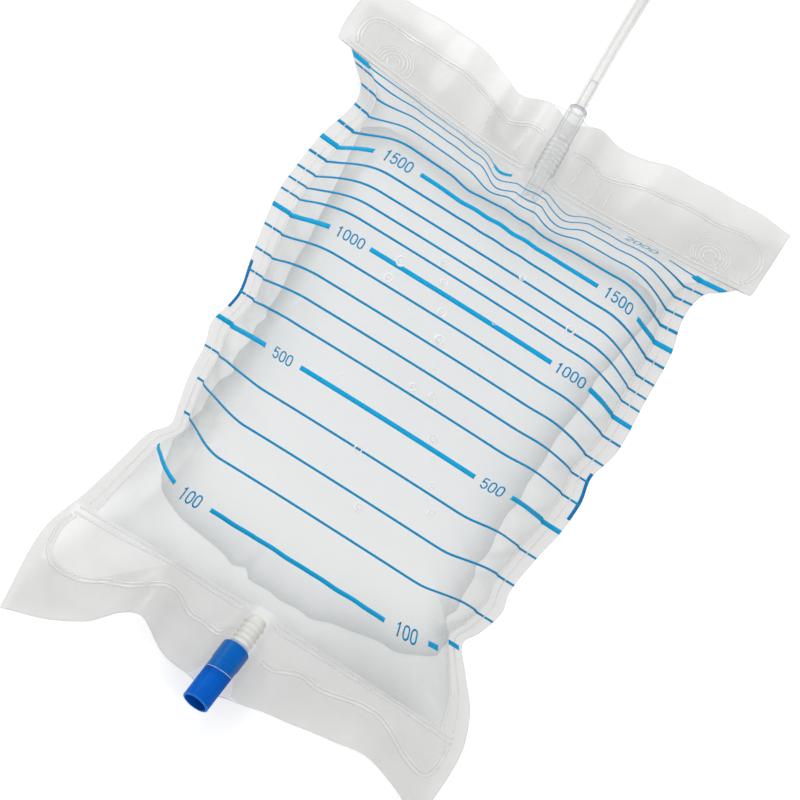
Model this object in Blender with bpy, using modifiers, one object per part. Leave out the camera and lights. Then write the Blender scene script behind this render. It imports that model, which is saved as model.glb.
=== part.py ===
"""A two-litre drainage bag of clear film, inflated and lying on its back, printed side up.

Metres, +Z up out of the printed front, +Y towards the inlet, +X to the reader's right. The origin is on the
surface the bag lies on, under the middle of its chamber. The front and back sheets are welded along the
sides, across the top and across the bottom. The welds hold a ribbed inlet port with its hose, and a ribbed
outlet spigot with a push-pull valve. Most of the hose is wound into a round coil that lies beyond the inlet.
"""

from math import cos, pi, radians, sin, sqrt

import bmesh
import bpy
from mathutils import Vector

MM = 0.001

# The film and the clearances
FILM = 0.4 * MM
GAP = 0.3 * MM
REST_GAP = 0.05 * MM

# The inflated bag
HALF_CHAMBER = 134 * MM
HALF_WIDTH = 103 * MM
SIDE_FLANGE = 11 * MM
THICKNESS = 44 * MM
SEAM_HEIGHT = 20 * MM
FRONT_ROUND = 28 * MM
FRONT_END_ROUND = 44 * MM
BACK_ROUND = 15 * MM
BACK_END_ROUND = 26 * MM
CROWN_FALL = 0.10
WAIST_PULL = 0.064
PULL_CENTRE = -27 * MM
TOP_FLANGE = 43 * MM
BOTTOM_FLANGE = 45 * MM
NOTCH = 10 * MM

# How the film takes its shape: how steeply it leaves a weld, which shares of the bag its sides are drawn in
# over, and how far past a port's end it takes to fall back
FILM_STEEPNESS = 2.3
DRAWN_ACROSS = (0.58, 0.92)
DRAWN_TILL = 0.72
END_WELD_FROM = 0.7
LIFT_FROM = 0.55
COVER_RUN = 6 * MM
COVER_FULL = 2 * MM

# The outline of each side: station along the bag (1 at the chamber's end weld), width (1 at HALF_WIDTH)
LEFT_SIDE = (
    (-1.47, 1.02), (-1.16, 1.05), (-0.97, 0.98), (-0.81, 0.92), (-0.69, 0.88), (-0.61, 0.82), (-0.52, 0.84),
    (-0.41, 0.87), (-0.25, 0.89), (-0.16, 0.92), (-0.08, 0.90), (0.00, 0.89), (0.12, 0.92), (0.28, 0.96),
    (0.43, 0.99), (0.56, 0.99), (0.72, 0.97), (0.85, 0.92), (0.91, 0.94), (0.97, 1.04), (1.04, 1.13),
    (1.13, 1.17), (1.37, 1.17),
)
RIGHT_SIDE = (
    (-1.33, 1.11), (-1.05, 1.12), (-0.91, 1.06), (-0.82, 0.95), (-0.74, 0.86), (-0.66, 0.90), (-0.54, 0.94),
    (-0.46, 0.92), (-0.26, 0.95), (-0.13, 0.98), (0.01, 0.99), (0.13, 0.97), (0.28, 1.01), (0.50, 1.00),
    (0.72, 0.99), (0.84, 0.95), (0.93, 0.98), (0.97, 1.06), (1.06, 1.16), (1.20, 1.18), (1.43, 1.19),
)

# The end flanges, from the left edge (-1) to the right edge (1): how far each edge reaches, as a share of
# the flange's depth in the middle, and how high it lies, as a share of the seam's height
TOP_REACH = (
    (-1.0, 1.14), (-0.79, 1.21), (-0.45, 1.05), (-0.27, 0.88), (-0.07, 0.99), (0.07, 1.02), (0.17, 0.98),
    (0.35, 0.98), (0.54, 1.12), (0.80, 1.26), (1.0, 1.33),
)
BOTTOM_REACH = (
    (-1.0, 1.40), (-0.84, 1.31), (-0.64, 1.09), (-0.53, 0.84), (-0.45, 0.78), (-0.36, 0.84), (-0.22, 0.98),
    (0.0, 1.00), (0.16, 0.98), (0.34, 0.84), (0.58, 0.78), (0.74, 0.74), (0.87, 0.82), (1.0, 0.98),
)
TOP_WELD_LIFT = ((-1.0, 0.26), (-0.7, 0.13), (-0.3, 0.02), (0.0, 0.0), (0.3, 0.02), (0.7, 0.13), (1.0, 0.26))
TOP_WELD_HEIGHT = ((-1.0, 0.70), (-0.5, 0.90), (0.0, 1.0), (0.5, 0.90), (1.0, 0.70))
TOP_EDGE_HEIGHT = (
    (-1.0, 0.35), (-0.75, 0.62), (-0.48, 0.95), (-0.28, 0.60), (-0.12, 1.0), (0.12, 1.0), (0.30, 0.70),
    (0.52, 0.98), (0.78, 0.62), (1.0, 0.30),
)
BOTTOM_WELD_HEIGHT = ((-1.0, 0.62), (-0.5, 0.76), (0.0, 0.82), (0.5, 0.76), (1.0, 0.62))
BOTTOM_EDGE_HEIGHT = (
    (-1.0, 0.22), (-0.75, 0.52), (-0.48, 0.98), (-0.30, 0.62), (-0.12, 0.82), (0.12, 0.82), (0.36, 0.55),
    (0.62, 0.92), (0.84, 0.50), (1.0, 0.25),
)
SIDE_HEIGHT = (
    (-1.0, 0.80), (-0.74, 1.0), (-0.58, 0.90), (-0.42, 1.05), (-0.20, 0.92), (0.0, 1.06), (0.20, 0.94),
    (0.42, 1.06), (0.62, 0.94), (0.80, 1.04), (1.0, 0.85),
)

# How steeply the film lies over a round port: distance from the port's axis and height, both in port radii
COVER = ((0.0, 1.06), (0.35, 1.03), (0.7, 0.88), (1.1, 0.5), (1.5, 0.2), (2.2, 0.0))

# Where the sheets' cage lines run: across as distances from the middle, along as shares of the chamber
NEAR_PORT_LINES = (0.0, 4 * MM, 8 * MM, 13 * MM)
ACROSS_LINES = (0.25, 0.37, 0.49, 0.61, 0.72, 0.81, 0.88, 0.93, 0.965, 1.0)
CHAMBER_ROWS = 28
END_ROW_CROWDING = 0.35
FLANGE_ROWS = 5
SIDE_FLANGE_LINES = 2

# What the moulded pieces share. A rib's outline is 0 on the root or 1 on the crest, and a share of the pitch
EDGE = 0.5 * MM
LEAD = 1 * MM
RIB_OUTLINE = ((0, 0.95), (1, 0.70), (1, 0.45), (0, 0.20))
MERGE = 0.02 * MM
SHARP_ANGLE = radians(40)

# The inlet port, along its own axis from the top weld outwards
INLET_SHIFT = 2 * MM
INLET_TURN = radians(2.5)
INLET_TAIL = 10 * MM
INLET_TAIL_RADIUS = 4.2 * MM
INLET_RIBS_START = 6 * MM
INLET_RIB_COUNT = 7
INLET_RIB_PITCH = 2.7 * MM
INLET_RIB_RADIUS = 5.6 * MM
INLET_ROOT_RADIUS = 4.9 * MM
INLET_LENGTH = 46 * MM
INLET_COLLAR_RADIUS = 5.0 * MM
INLET_BORE_RADIUS = 2.4 * MM
SOCKET_DEPTH = 18 * MM

# The outlet spigot and its valve, along their own axis from the bottom weld outwards
OUTLET_SHIFT = 1 * MM
OUTLET_TURN = radians(5)
SPIGOT_TAIL = 8 * MM
SPIGOT_RIBS_START = 4 * MM
SPIGOT_RIB_COUNT = 5
SPIGOT_RIB_PITCH = 3.0 * MM
SPIGOT_RIB_RADIUS = 5.5 * MM
SPIGOT_ROOT_RADIUS = 4.6 * MM
SPIGOT_BORE_RADIUS = 2.6 * MM
NECK_RADIUS = 4.0 * MM
NECK_LENGTH = 12 * MM
NOSE_RADIUS = 5.1 * MM
NOSE_LENGTH = 9 * MM
SEAL_THICKNESS = 0.9 * MM
SEAL_FROM_SHOULDER = 4 * MM
SEAL_SIDES = 8
VALVE_RADIUS = 6.9 * MM
VALVE_COLLAR_RADIUS = 7.2 * MM
VALVE_COLLAR_LENGTH = 10 * MM
VALVE_LENGTH = 34 * MM
VALVE_LIP = 2.5 * MM
VALVE_TRAVEL = 6 * MM
VALVE_STOP = 0.5 * MM
BULKHEAD = 2.5 * MM
BULKHEAD_CLEARANCE = 2.0 * MM
MOUTH_WALL = 1.0 * MM
PIN_OVERLAP = 3 * MM
PIN_BOSS = 2.5 * MM
SPOKE_COUNT = 4
SPOKE_WIDTH = 1.4 * MM

# The non-return valve: a flat film tube on the inlet's tail
FLAP_FILM = 0.3 * MM
FLAP_WIDTH = 22 * MM
FLAP_LENGTH = 34 * MM
FLAP_MOUTH = 1.6 * MM
FLAP_GRIP = 5 * MM
FLAP_FLATTENS = (0.12, 0.7)
FLAP_RINGS = 9
FLAP_SIDES = 20

# The hose. Its free route's points are places from the port's mouth, aside and on, and heights as shares of
# the mouth's own height over a hose that lies on the surface
HOSE_RADIUS = 3.25 * MM
HOSE_ROUTE = (
    (-0.8 * MM, 18 * MM, 0.964), (-1.4 * MM, 34 * MM, 0.82), (-1.8 * MM, 50 * MM, 0.593),
    (-2.0 * MM, 65 * MM, 0.353), (-2.1 * MM, 79 * MM, 0.162), (-2.0 * MM, 92 * MM, 0.042),
)
HOSE_END_ASIDE = -1.7 * MM
HOSE_POINTS = 22
COIL_FROM_MOUTH = (-41.2 * MM, 132 * MM)
COIL_MIDDLE_RADIUS = 36.5 * MM
COIL_WIDTH = 13.4 * MM
COIL_HEIGHT = 12.9 * MM
COIL_CORNER = 2.4 * MM
COIL_STEPS = 40

# The hose's last stretch lies on the coil, with its connector across it
END_BEND = 26 * MM
END_ANGLE = radians(100)
END_POINTS = 9
CONNECTOR_TURN = radians(190)
HOSE_BEYOND_BEND = 3 * MM
CONNECTOR_GRIP = 22 * MM
CONNECTOR_GRIP_RADIUS = 4.6 * MM
CONNECTOR_TAPER = 24 * MM
TAPER_START_RADIUS = 4.0 * MM
TAPER_END_RADIUS = 2.6 * MM
TAPER_STEPS = 3
TAPER_BARB = 0.4
CONNECTOR_BORE_RADIUS = 1.6 * MM
CAP_LENGTH = 27 * MM
CAP_WALL = 1.0 * MM
CAP_END_WALL = 1.6 * MM
ROUND_STEPS = 24


def step(low, high, x):
    """0 up to low, 1 from high on, and a smooth rise between."""
    t = min(1.0, max(0.0, (x - low) / (high - low)))
    return t * t * (3 - 2 * t)


def through(points, x):
    """The height at x of the smooth curve through (place, height) points, level beyond its ends."""
    if x <= points[0][0]:
        return points[0][1]
    if x >= points[-1][0]:
        return points[-1][1]
    at = next(i for i in range(len(points) - 1) if x < points[i + 1][0])
    (x0, y0), (x1, y1) = points[at], points[at + 1]
    before = points[at - 1] if at else points[at]
    after = points[at + 2] if at + 2 < len(points) else points[at + 1]
    slope0 = (y1 - before[1]) / (x1 - before[0])
    slope1 = (after[1] - y0) / (after[0] - x0)
    t = (x - x0) / (x1 - x0)
    rise = (2 * t**3 - 3 * t**2 + 1) * y0 + (3 * t**2 - 2 * t**3) * y1
    return rise + (x1 - x0) * ((t**3 - 2 * t**2 + t) * slope0 + (t**3 - t**2) * slope1)


def rounded(reach):
    """How far a film wall has risen: 0 at the weld, 1 from the end of its round on."""
    return 1 - (1 - min(1.0, max(0.0, reach))) ** FILM_STEEPNESS


def spine(along):
    """How far the bag's middle line stands aside, so that it passes through both ports."""
    inlet_out = max(0.0, along - HALF_CHAMBER)
    outlet_out = max(0.0, -along - HALF_CHAMBER)
    top = INLET_SHIFT * step(0, HALF_CHAMBER, along) - sin(INLET_TURN) * inlet_out
    bottom = OUTLET_SHIFT * step(0, HALF_CHAMBER, -along) - sin(OUTLET_TURN) * outlet_out
    return top + bottom


def plan_x(across, along):
    """The place across the bag of a point of the flat sheet, once the bag is inflated."""
    outline = LEFT_SIDE if across < 0 else RIGHT_SIDE
    width = through(outline, along / HALF_CHAMBER)
    share = abs(across) / HALF_WIDTH
    return spine(along) * (1 - share) ** 2 + across * (1 + (width - 1) * share)


def seam_line():
    return HALF_WIDTH - SIDE_FLANGE


def plan_y(across, along):
    """The place along the bag of a point of its chamber. The sides are drawn in towards the middle."""
    share = across / HALF_WIDTH
    drawn = step(*DRAWN_ACROSS, abs(share)) * (1 - step(DRAWN_TILL, 1, abs(along) / HALF_CHAMBER))
    lift = through(TOP_WELD_LIFT, share) * TOP_FLANGE * step(LIFT_FROM, 1, along / HALF_CHAMBER)
    return along - WAIST_PULL * (along - PULL_CENTRE) * drawn + lift


def weld_height(across, along):
    """The height of the seam between the sheets, anywhere between the chamber's end welds."""
    share = across / HALF_WIDTH
    ends = TOP_WELD_HEIGHT if along > 0 else BOTTOM_WELD_HEIGHT
    at_end = step(END_WELD_FROM, 1, abs(along) / HALF_CHAMBER)
    side = through(SIDE_HEIGHT, along / HALF_CHAMBER)
    return SEAM_HEIGHT * (side * (1 - at_end) + through(ends, share) * at_end)


def port_height(top):
    """The height of a port's axis, which is that of its weld."""
    ends = TOP_WELD_HEIGHT if top else BOTTOM_WELD_HEIGHT
    return SEAM_HEIGHT * through(ends, 0)


def port_cover(across, along):
    """How far each sheet stands off the seam where it passes over a port."""
    if along > 0:
        radius = INLET_RIB_RADIUS + GAP
        present = step(-INLET_TAIL - COVER_RUN, -COVER_FULL, along - HALF_CHAMBER)
    else:
        out = -along - HALF_CHAMBER
        ribs = SPIGOT_RIBS_START + SPIGOT_RIB_COUNT * SPIGOT_RIB_PITCH
        over_valve = step(ribs - COVER_RUN, ribs, out)
        radius = GAP + SPIGOT_RIB_RADIUS * (1 - over_valve) + VALVE_COLLAR_RADIUS * over_valve
        present = step(-SPIGOT_TAIL - COVER_RUN, -COVER_FULL, out)
    return present * radius * through(COVER, abs(across) / radius)


def chamber_point(across, along, front):
    """A point of one sheet's inner face between the end welds, or on the side flange beside them."""
    inward = (seam_line() - abs(across), HALF_CHAMBER - abs(along))
    seam = weld_height(across, along)
    away = GAP / 2
    if front:
        rise = rounded(inward[0] / FRONT_ROUND) * rounded(inward[1] / FRONT_END_ROUND)
        crown = 1 - CROWN_FALL * (across / seam_line()) ** 2
        away += max((THICKNESS - FILM - seam) * rise * crown, port_cover(across, along))
        height = seam + away
    else:
        rise = rounded(inward[0] / BACK_ROUND) * rounded(inward[1] / BACK_END_ROUND)
        away += max((seam - away - FILM) * rise, port_cover(across, along))
        height = max(FILM, seam - away)
    return plan_x(across, along), plan_y(across, along), height


def flange_point(across, out, top, front):
    """A point of one sheet's inner face on an end flange: out is 0 on the weld and 1 at the edge."""
    share = across / HALF_WIDTH
    sign = 1 if top else -1
    depth = (TOP_FLANGE if top else BOTTOM_FLANGE) * through(TOP_REACH if top else BOTTOM_REACH, share)
    if front and not top:
        depth -= NOTCH * through(COVER, abs(across) / VALVE_COLLAR_RADIUS)
    weld = plan_y(across, sign * HALF_CHAMBER)
    along = weld + (sign * (HALF_CHAMBER + depth) - weld) * out
    edge_height = SEAM_HEIGHT * through(TOP_EDGE_HEIGHT if top else BOTTOM_EDGE_HEIGHT, share)
    seam = weld_height(across, sign * HALF_CHAMBER)
    middle = seam + (edge_height - seam) * step(0, 1, out)
    away = GAP / 2 + port_cover(across, along)
    return plan_x(across, along), along, middle + away if front else max(FILM, middle - away)


def across_lines():
    half = list(NEAR_PORT_LINES) + [share * seam_line() for share in ACROSS_LINES]
    half += [seam_line() + SIDE_FLANGE * (i + 1) / SIDE_FLANGE_LINES for i in range(SIDE_FLANGE_LINES)]
    return [-a for a in reversed(half[1:])] + half


def sheet_rows(front):
    """The rows of points of one sheet's cage, from the bottom edge to the top edge."""
    lines = across_lines()
    rows = []
    for i in range(FLANGE_ROWS):
        rows.append([flange_point(a, 1 - i / FLANGE_ROWS, False, front) for a in lines])
    for i in range(CHAMBER_ROWS + 1):
        even = 2 * i / CHAMBER_ROWS - 1
        along = HALF_CHAMBER * ((1 - END_ROW_CROWDING) * even + END_ROW_CROWDING * sin(pi / 2 * even))
        rows.append([chamber_point(a, along, front) for a in lines])
    for i in range(FLANGE_ROWS):
        rows.append([flange_point(a, (i + 1) / FLANGE_ROWS, True, front) for a in lines])
    return rows


def clear_scene():
    for old in list(bpy.data.objects):
        bpy.data.objects.remove(old, do_unlink=True)


def new_collection(name, hidden=False):
    made = bpy.data.collections.new(name)
    bpy.context.scene.collection.children.link(made)
    made.hide_render = hidden
    return made


def plastic(name, colour, roughness, alpha=1.0):
    made = bpy.data.materials.new(name)
    made.use_nodes = True
    shader = made.node_tree.nodes["Principled BSDF"]
    shader.inputs["Base Color"].default_value = (*colour, 1)
    shader.inputs["Roughness"].default_value = roughness
    shader.inputs["Metallic"].default_value = 0
    shader.inputs["Alpha"].default_value = alpha
    made.diffuse_color = (*colour, alpha)
    return made


def mesh_object(name, points, faces, finish, home, parent=None):
    mesh = bpy.data.meshes.new(name)
    mesh.from_pydata(points, [], faces)
    made = bpy.data.objects.new(name, mesh)
    home.objects.link(made)
    made.parent = parent
    if finish:
        mesh.materials.append(finish)
    return made


def smooth_shade(made):
    made.data.shade_smooth()
    made.data.set_sharp_from_angle(angle=SHARP_ANGLE)


def film_sheet(name, front, finish, home):
    """One sheet of film: an open surface with the film's thickness added on its outer side."""
    rows = sheet_rows(front)
    columns = len(rows[0])
    faces = []
    for i in range(len(rows) - 1):
        for j in range(columns - 1):
            a, b, c, d = i * columns + j, i * columns + j + 1, (i + 1) * columns + j + 1, (i + 1) * columns + j
            halves = ((a, b, c), (a, c, d))
            faces += halves if front else [tuple(reversed(half)) for half in halves]
    made = mesh_object(name, [p for row in rows for p in row], faces, finish, home)
    made.data.shade_smooth()
    wall = made.modifiers.new("film thickness", "SOLIDIFY")
    wall.thickness = FILM
    wall.offset = 1
    return made


def turned(name, profile, finish, home, parent=None, steps=ROUND_STEPS):
    """A piece turned about its own Z. Each (radius, place) runs down the outer side and back up the bore."""
    count = len(profile)
    mesh = bpy.data.meshes.new(name)
    closed = profile[0][0] > 0 or profile[-1][0] > 0
    edges = [(i, (i + 1) % count) for i in range(count if closed else count - 1)]
    mesh.from_pydata([(radius, 0, place) for radius, place in profile], edges, [])
    made = bpy.data.objects.new(name, mesh)
    home.objects.link(made)
    made.parent = parent
    if finish:
        mesh.materials.append(finish)
    spin = made.modifiers.new("turn", "SCREW")
    spin.angle = 2 * pi
    spin.steps = steps
    spin.render_steps = steps
    spin.use_merge_vertices = True
    spin.merge_threshold = MERGE
    return made


def ribs(start, count, pitch, rib_radius, root_radius):
    """The outline of a row of ribs on a port, from its outer end inwards."""
    outline = []
    for i in reversed(range(count)):
        low = start + i * pitch
        outline += [(rib_radius if crest else root_radius, low + pitch * share) for crest, share in RIB_OUTLINE]
    return outline


def port_axis(name, top, home):
    """An empty on a port's axis at the weld, with its Z pointing out of the bag."""
    axis = bpy.data.objects.new(name, None)
    home.objects.link(axis)
    sign = 1 if top else -1
    shift, turn = (INLET_SHIFT, INLET_TURN) if top else (OUTLET_SHIFT, OUTLET_TURN)
    axis.location = (shift, sign * HALF_CHAMBER, port_height(top))
    way = Vector((-sin(turn), sign * cos(turn), 0))
    axis.rotation_mode = "QUATERNION"
    axis.rotation_quaternion = way.to_track_quat("Z", "Y")
    return axis


def inlet_port(axis, finish, home):
    """The clear port: a socket for the hose, ribs that hold in the weld, and a tail inside the chamber."""
    socket = INLET_LENGTH - SOCKET_DEPTH
    ribs_end = INLET_RIBS_START + INLET_RIB_COUNT * INLET_RIB_PITCH
    outline = [
        (HOSE_RADIUS + GAP, INLET_LENGTH), (INLET_COLLAR_RADIUS, INLET_LENGTH),
        (INLET_COLLAR_RADIUS, ribs_end + LEAD),
    ]
    outline += ribs(INLET_RIBS_START, INLET_RIB_COUNT, INLET_RIB_PITCH, INLET_RIB_RADIUS, INLET_ROOT_RADIUS)
    outline += [
        (INLET_ROOT_RADIUS, INLET_RIBS_START - LEAD), (INLET_TAIL_RADIUS, -LEAD),
        (INLET_TAIL_RADIUS, -INLET_TAIL), (INLET_BORE_RADIUS, -INLET_TAIL),
        (INLET_BORE_RADIUS, socket), (HOSE_RADIUS + GAP, socket),
    ]
    return turned("inlet_port", outline, finish, home, axis)


def non_return_valve(axis, finish, home):
    """A film tube that is round on the inlet's tail and flat at its mouth, so that it lets nothing back."""
    points = []
    for i in range(FLAP_RINGS):
        t = i / (FLAP_RINGS - 1)
        flat = step(*FLAP_FLATTENS, t)
        half_width = (INLET_TAIL_RADIUS + GAP) * (1 - flat) + FLAP_WIDTH / 2 * flat
        half_height = (INLET_TAIL_RADIUS + GAP) * (1 - flat) + FLAP_MOUTH / 2 * flat
        place = FLAP_GRIP - INLET_TAIL - FLAP_LENGTH * t
        for j in range(FLAP_SIDES):
            angle = 2 * pi * j / FLAP_SIDES
            points.append((half_width * cos(angle), half_height * sin(angle), place))
    faces = []
    for i in range(FLAP_RINGS - 1):
        for j in range(FLAP_SIDES):
            a, b = i * FLAP_SIDES + j, i * FLAP_SIDES + (j + 1) % FLAP_SIDES
            faces.append((b, a, a + FLAP_SIDES, b + FLAP_SIDES))
    made = mesh_object("non_return_valve", points, faces, finish, home, axis)
    wall = made.modifiers.new("film thickness", "SOLIDIFY")
    wall.thickness = FLAP_FILM
    wall.offset = 1
    return made


def spigot_ends():
    """Places along the outlet's axis: the ribs' end, the nose's shoulder and the nose's end."""
    ribs_end = SPIGOT_RIBS_START + SPIGOT_RIB_COUNT * SPIGOT_RIB_PITCH
    shoulder = ribs_end + NECK_LENGTH
    return ribs_end, shoulder, shoulder + NOSE_LENGTH


def outlet_spigot(axis, finish, home):
    """The milky spigot: ribs that hold in the weld, a neck, and a nose with a groove for its seal."""
    ribs_end, shoulder, end = spigot_ends()
    groove = shoulder + SEAL_FROM_SHOULDER
    groove_half = SEAL_THICKNESS / 2 + GAP
    groove_radius = NOSE_RADIUS - SEAL_THICKNESS - GAP / 2
    outline = [
        (SPIGOT_BORE_RADIUS, end), (NOSE_RADIUS - EDGE, end), (NOSE_RADIUS, end - LEAD),
        (NOSE_RADIUS, groove + groove_half), (groove_radius, groove + groove_half),
        (groove_radius, groove - groove_half), (NOSE_RADIUS, groove - groove_half),
        (NOSE_RADIUS, shoulder), (NECK_RADIUS, shoulder), (NECK_RADIUS, ribs_end + EDGE),
    ]
    outline += ribs(
        SPIGOT_RIBS_START, SPIGOT_RIB_COUNT, SPIGOT_RIB_PITCH, SPIGOT_RIB_RADIUS, SPIGOT_ROOT_RADIUS
    )
    outline += [(SPIGOT_ROOT_RADIUS, -SPIGOT_TAIL), (SPIGOT_BORE_RADIUS, -SPIGOT_TAIL)]
    return turned("outlet_spigot", outline, finish, home, axis)


def outlet_seal(axis, finish, home):
    """The seal ring in the nose's groove."""
    _, shoulder, _ = spigot_ends()
    minor = SEAL_THICKNESS / 2
    major = NOSE_RADIUS - SEAL_THICKNESS - GAP / 2 + GAP + minor
    middle = shoulder + SEAL_FROM_SHOULDER
    turns = [2 * pi * i / SEAL_SIDES for i in range(SEAL_SIDES)]
    outline = [(major + minor * sin(turn), middle + minor * cos(turn)) for turn in turns]
    return turned("outlet_seal", outline, finish, home, axis)


def joined(base, added):
    """One solid of a piece and what is moulded on it."""
    for other in added:
        weld = base.modifiers.new("moulded with " + other.name, "BOOLEAN")
        weld.operation = "UNION"
        weld.solver = "EXACT"
        weld.object = other
        other.hide_render = True
        other.display_type = "WIRE"
    return base


def valve_sleeve(axis, finish, home, helpers):
    """The blue sleeve: a lip behind the nose's shoulder, a bore over the seal, and a pin held by spokes."""
    _, shoulder, nose_end = spigot_ends()
    start = shoulder - VALVE_STOP - VALVE_TRAVEL - VALVE_LIP
    bore = NOSE_RADIUS + GAP + GAP / 2
    bulkhead = nose_end + BULKHEAD_CLEARANCE
    mouth = VALVE_RADIUS - MOUTH_WALL
    end = start + VALVE_LENGTH
    slide = bpy.data.objects.new("valve_slide_axis", None)
    home.objects.link(slide)
    slide.parent = axis
    outline = [
        (mouth, end), (VALVE_RADIUS - EDGE, end), (VALVE_RADIUS, end - EDGE),
        (VALVE_RADIUS, start + VALVE_COLLAR_LENGTH + EDGE), (VALVE_COLLAR_RADIUS, start + VALVE_COLLAR_LENGTH),
        (VALVE_COLLAR_RADIUS, start + EDGE), (VALVE_COLLAR_RADIUS - EDGE, start),
        (NECK_RADIUS + GAP, start), (NECK_RADIUS + GAP, start + VALVE_LIP), (bore, start + VALVE_LIP),
        (bore, bulkhead + BULKHEAD / 2), (mouth, bulkhead + BULKHEAD / 2),
    ]
    sleeve = turned("valve_sleeve", outline, finish, home, slide)
    pin_radius = SPIGOT_BORE_RADIUS - GAP
    top, low = nose_end - PIN_OVERLAP, bulkhead + BULKHEAD + PIN_BOSS
    pin_outline = [(0, low), (pin_radius, low), (pin_radius, top + LEAD), (pin_radius - EDGE, top), (0, top)]
    pin = turned("valve_pin_core", pin_outline, finish, helpers, slide)
    spokes = []
    for i in range(SPOKE_COUNT // 2):
        bar = mesh_object("valve_spoke_core_%d" % (i + 1), *box(
            (2 * mouth + MOUTH_WALL, SPOKE_WIDTH, BULKHEAD), (0, 0, bulkhead + BULKHEAD / 2)
        ), finish, helpers, slide)
        bar.rotation_euler.z = 2 * pi * i / SPOKE_COUNT
        spokes.append(bar)
    return joined(sleeve, [pin] + spokes)


def box(size, middle):
    """The corners and faces of a block, made by bmesh at its size and place."""
    made = bmesh.new()
    bmesh.ops.create_cube(made, size=1)
    points = [tuple(middle[k] + size[k] * v.co[k] for k in range(3)) for v in made.verts]
    faces = [[v.index for v in face.verts] for face in made.faces]
    made.free()
    return points, faces


def smooth_route(points, count):
    """Evenly spaced points on the smooth curve through the route's own points."""
    ends = [0.0]
    for a, b in zip(points, points[1:]):
        ends.append(ends[-1] + (Vector(b) - Vector(a)).length)
    tracks = [[(ends[i], points[i][k]) for i in range(len(points))] for k in range(3)]
    places = [ends[-1] * i / (count - 1) for i in range(count)]
    return [tuple(through(track, place) for track in tracks) for place in places]


def hose(name, points, finish, home):
    """A plain length of hose along a route."""
    curve = bpy.data.curves.new(name, "CURVE")
    curve.dimensions = "3D"
    curve.bevel_depth = HOSE_RADIUS
    curve.bevel_resolution = 2
    curve.use_fill_caps = True
    line = curve.splines.new("POLY")
    line.points.add(len(points) - 1)
    for target, point in zip(line.points, points):
        target.co = (*point, 1)
    curve.materials.append(finish)
    made = bpy.data.objects.new(name, curve)
    home.objects.link(made)
    return made


def inlet_mouth():
    """The middle of the inlet port's mouth, and the way that its axis points."""
    way = Vector((-sin(INLET_TURN), cos(INLET_TURN), 0))
    return Vector((INLET_SHIFT, HALF_CHAMBER, port_height(True))) + way * INLET_LENGTH, way


def coil_centre():
    mouth, _ = inlet_mouth()
    return mouth.x + COIL_FROM_MOUTH[0], mouth.y + COIL_FROM_MOUTH[1]


def inlet_hose(finish, home):
    """The hose from the bottom of the port's socket down to the surface and up to the coil."""
    mouth, way = inlet_mouth()
    lying = HOSE_RADIUS + REST_GAP
    route = [mouth - way * (SOCKET_DEPTH - GAP), mouth]
    for aside, on, share in HOSE_ROUTE:
        route.append(Vector((mouth.x + aside, mouth.y + on, lying + (mouth.z - lying) * share)))
    route.append(coil_meeting_point())
    return hose("inlet_tube", smooth_route(route, HOSE_POINTS), finish, home)


def coil_meeting_point():
    """Where the free hose ends: on the surface, with the corner of its end a gap away from the coil's wall."""
    mouth, _ = inlet_mouth()
    middle = coil_centre()
    wall = COIL_MIDDLE_RADIUS + COIL_WIDTH / 2 + GAP
    aside = mouth.x + HOSE_END_ASIDE - middle[0] - HOSE_RADIUS
    return Vector((mouth.x + HOSE_END_ASIDE, middle[1] - sqrt(wall**2 - aside**2), HOSE_RADIUS + REST_GAP))


def hose_coil(finish, home):
    """The coil's outer shape: a turned ring lying on the surface."""
    outer = COIL_MIDDLE_RADIUS + COIL_WIDTH / 2
    inner = COIL_MIDDLE_RADIUS - COIL_WIDTH / 2
    low = REST_GAP
    outline = [
        (inner + COIL_CORNER, COIL_HEIGHT), (outer - COIL_CORNER, COIL_HEIGHT),
        (outer, COIL_HEIGHT - COIL_CORNER),
        (outer, low + COIL_CORNER), (outer - COIL_CORNER, low), (inner + COIL_CORNER, low),
        (inner, low + COIL_CORNER), (inner, COIL_HEIGHT - COIL_CORNER),
    ]
    ring = turned("tube_coil", outline, finish, home, None, COIL_STEPS)
    ring.location = (*coil_centre(), 0)
    return ring


def connector_place():
    """Where the hose's end meets the connector, above the coil, and the way the connector points."""
    lift = COIL_HEIGHT + CAP_WALL + GAP + TAPER_START_RADIUS + GAP
    way = Vector((cos(CONNECTOR_TURN), sin(CONNECTOR_TURN), 0))
    side = Vector((way.y, -way.x, 0))
    middle = Vector((*coil_centre(), lift))
    bend_centre = middle - way * (COIL_MIDDLE_RADIUS - END_BEND)
    return bend_centre + side * END_BEND, way, side, bend_centre


def end_hose(finish, home):
    """The hose's last bend, lying on the coil, up to the connector."""
    place, way, side, bend_centre = connector_place()
    rest = COIL_HEIGHT + HOSE_RADIUS + GAP
    points = []
    for i in range(END_POINTS):
        t = i / (END_POINTS - 1)
        angle = END_ANGLE * (1 - t)
        flat = bend_centre + side * (END_BEND * cos(angle)) - way * (END_BEND * sin(angle))
        points.append((flat.x, flat.y, rest + (place.z - rest) * step(0, 1, t)))
    points.append(tuple(place + way * HOSE_BEYOND_BEND))
    return hose("tube_end", points, finish, home)


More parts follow.
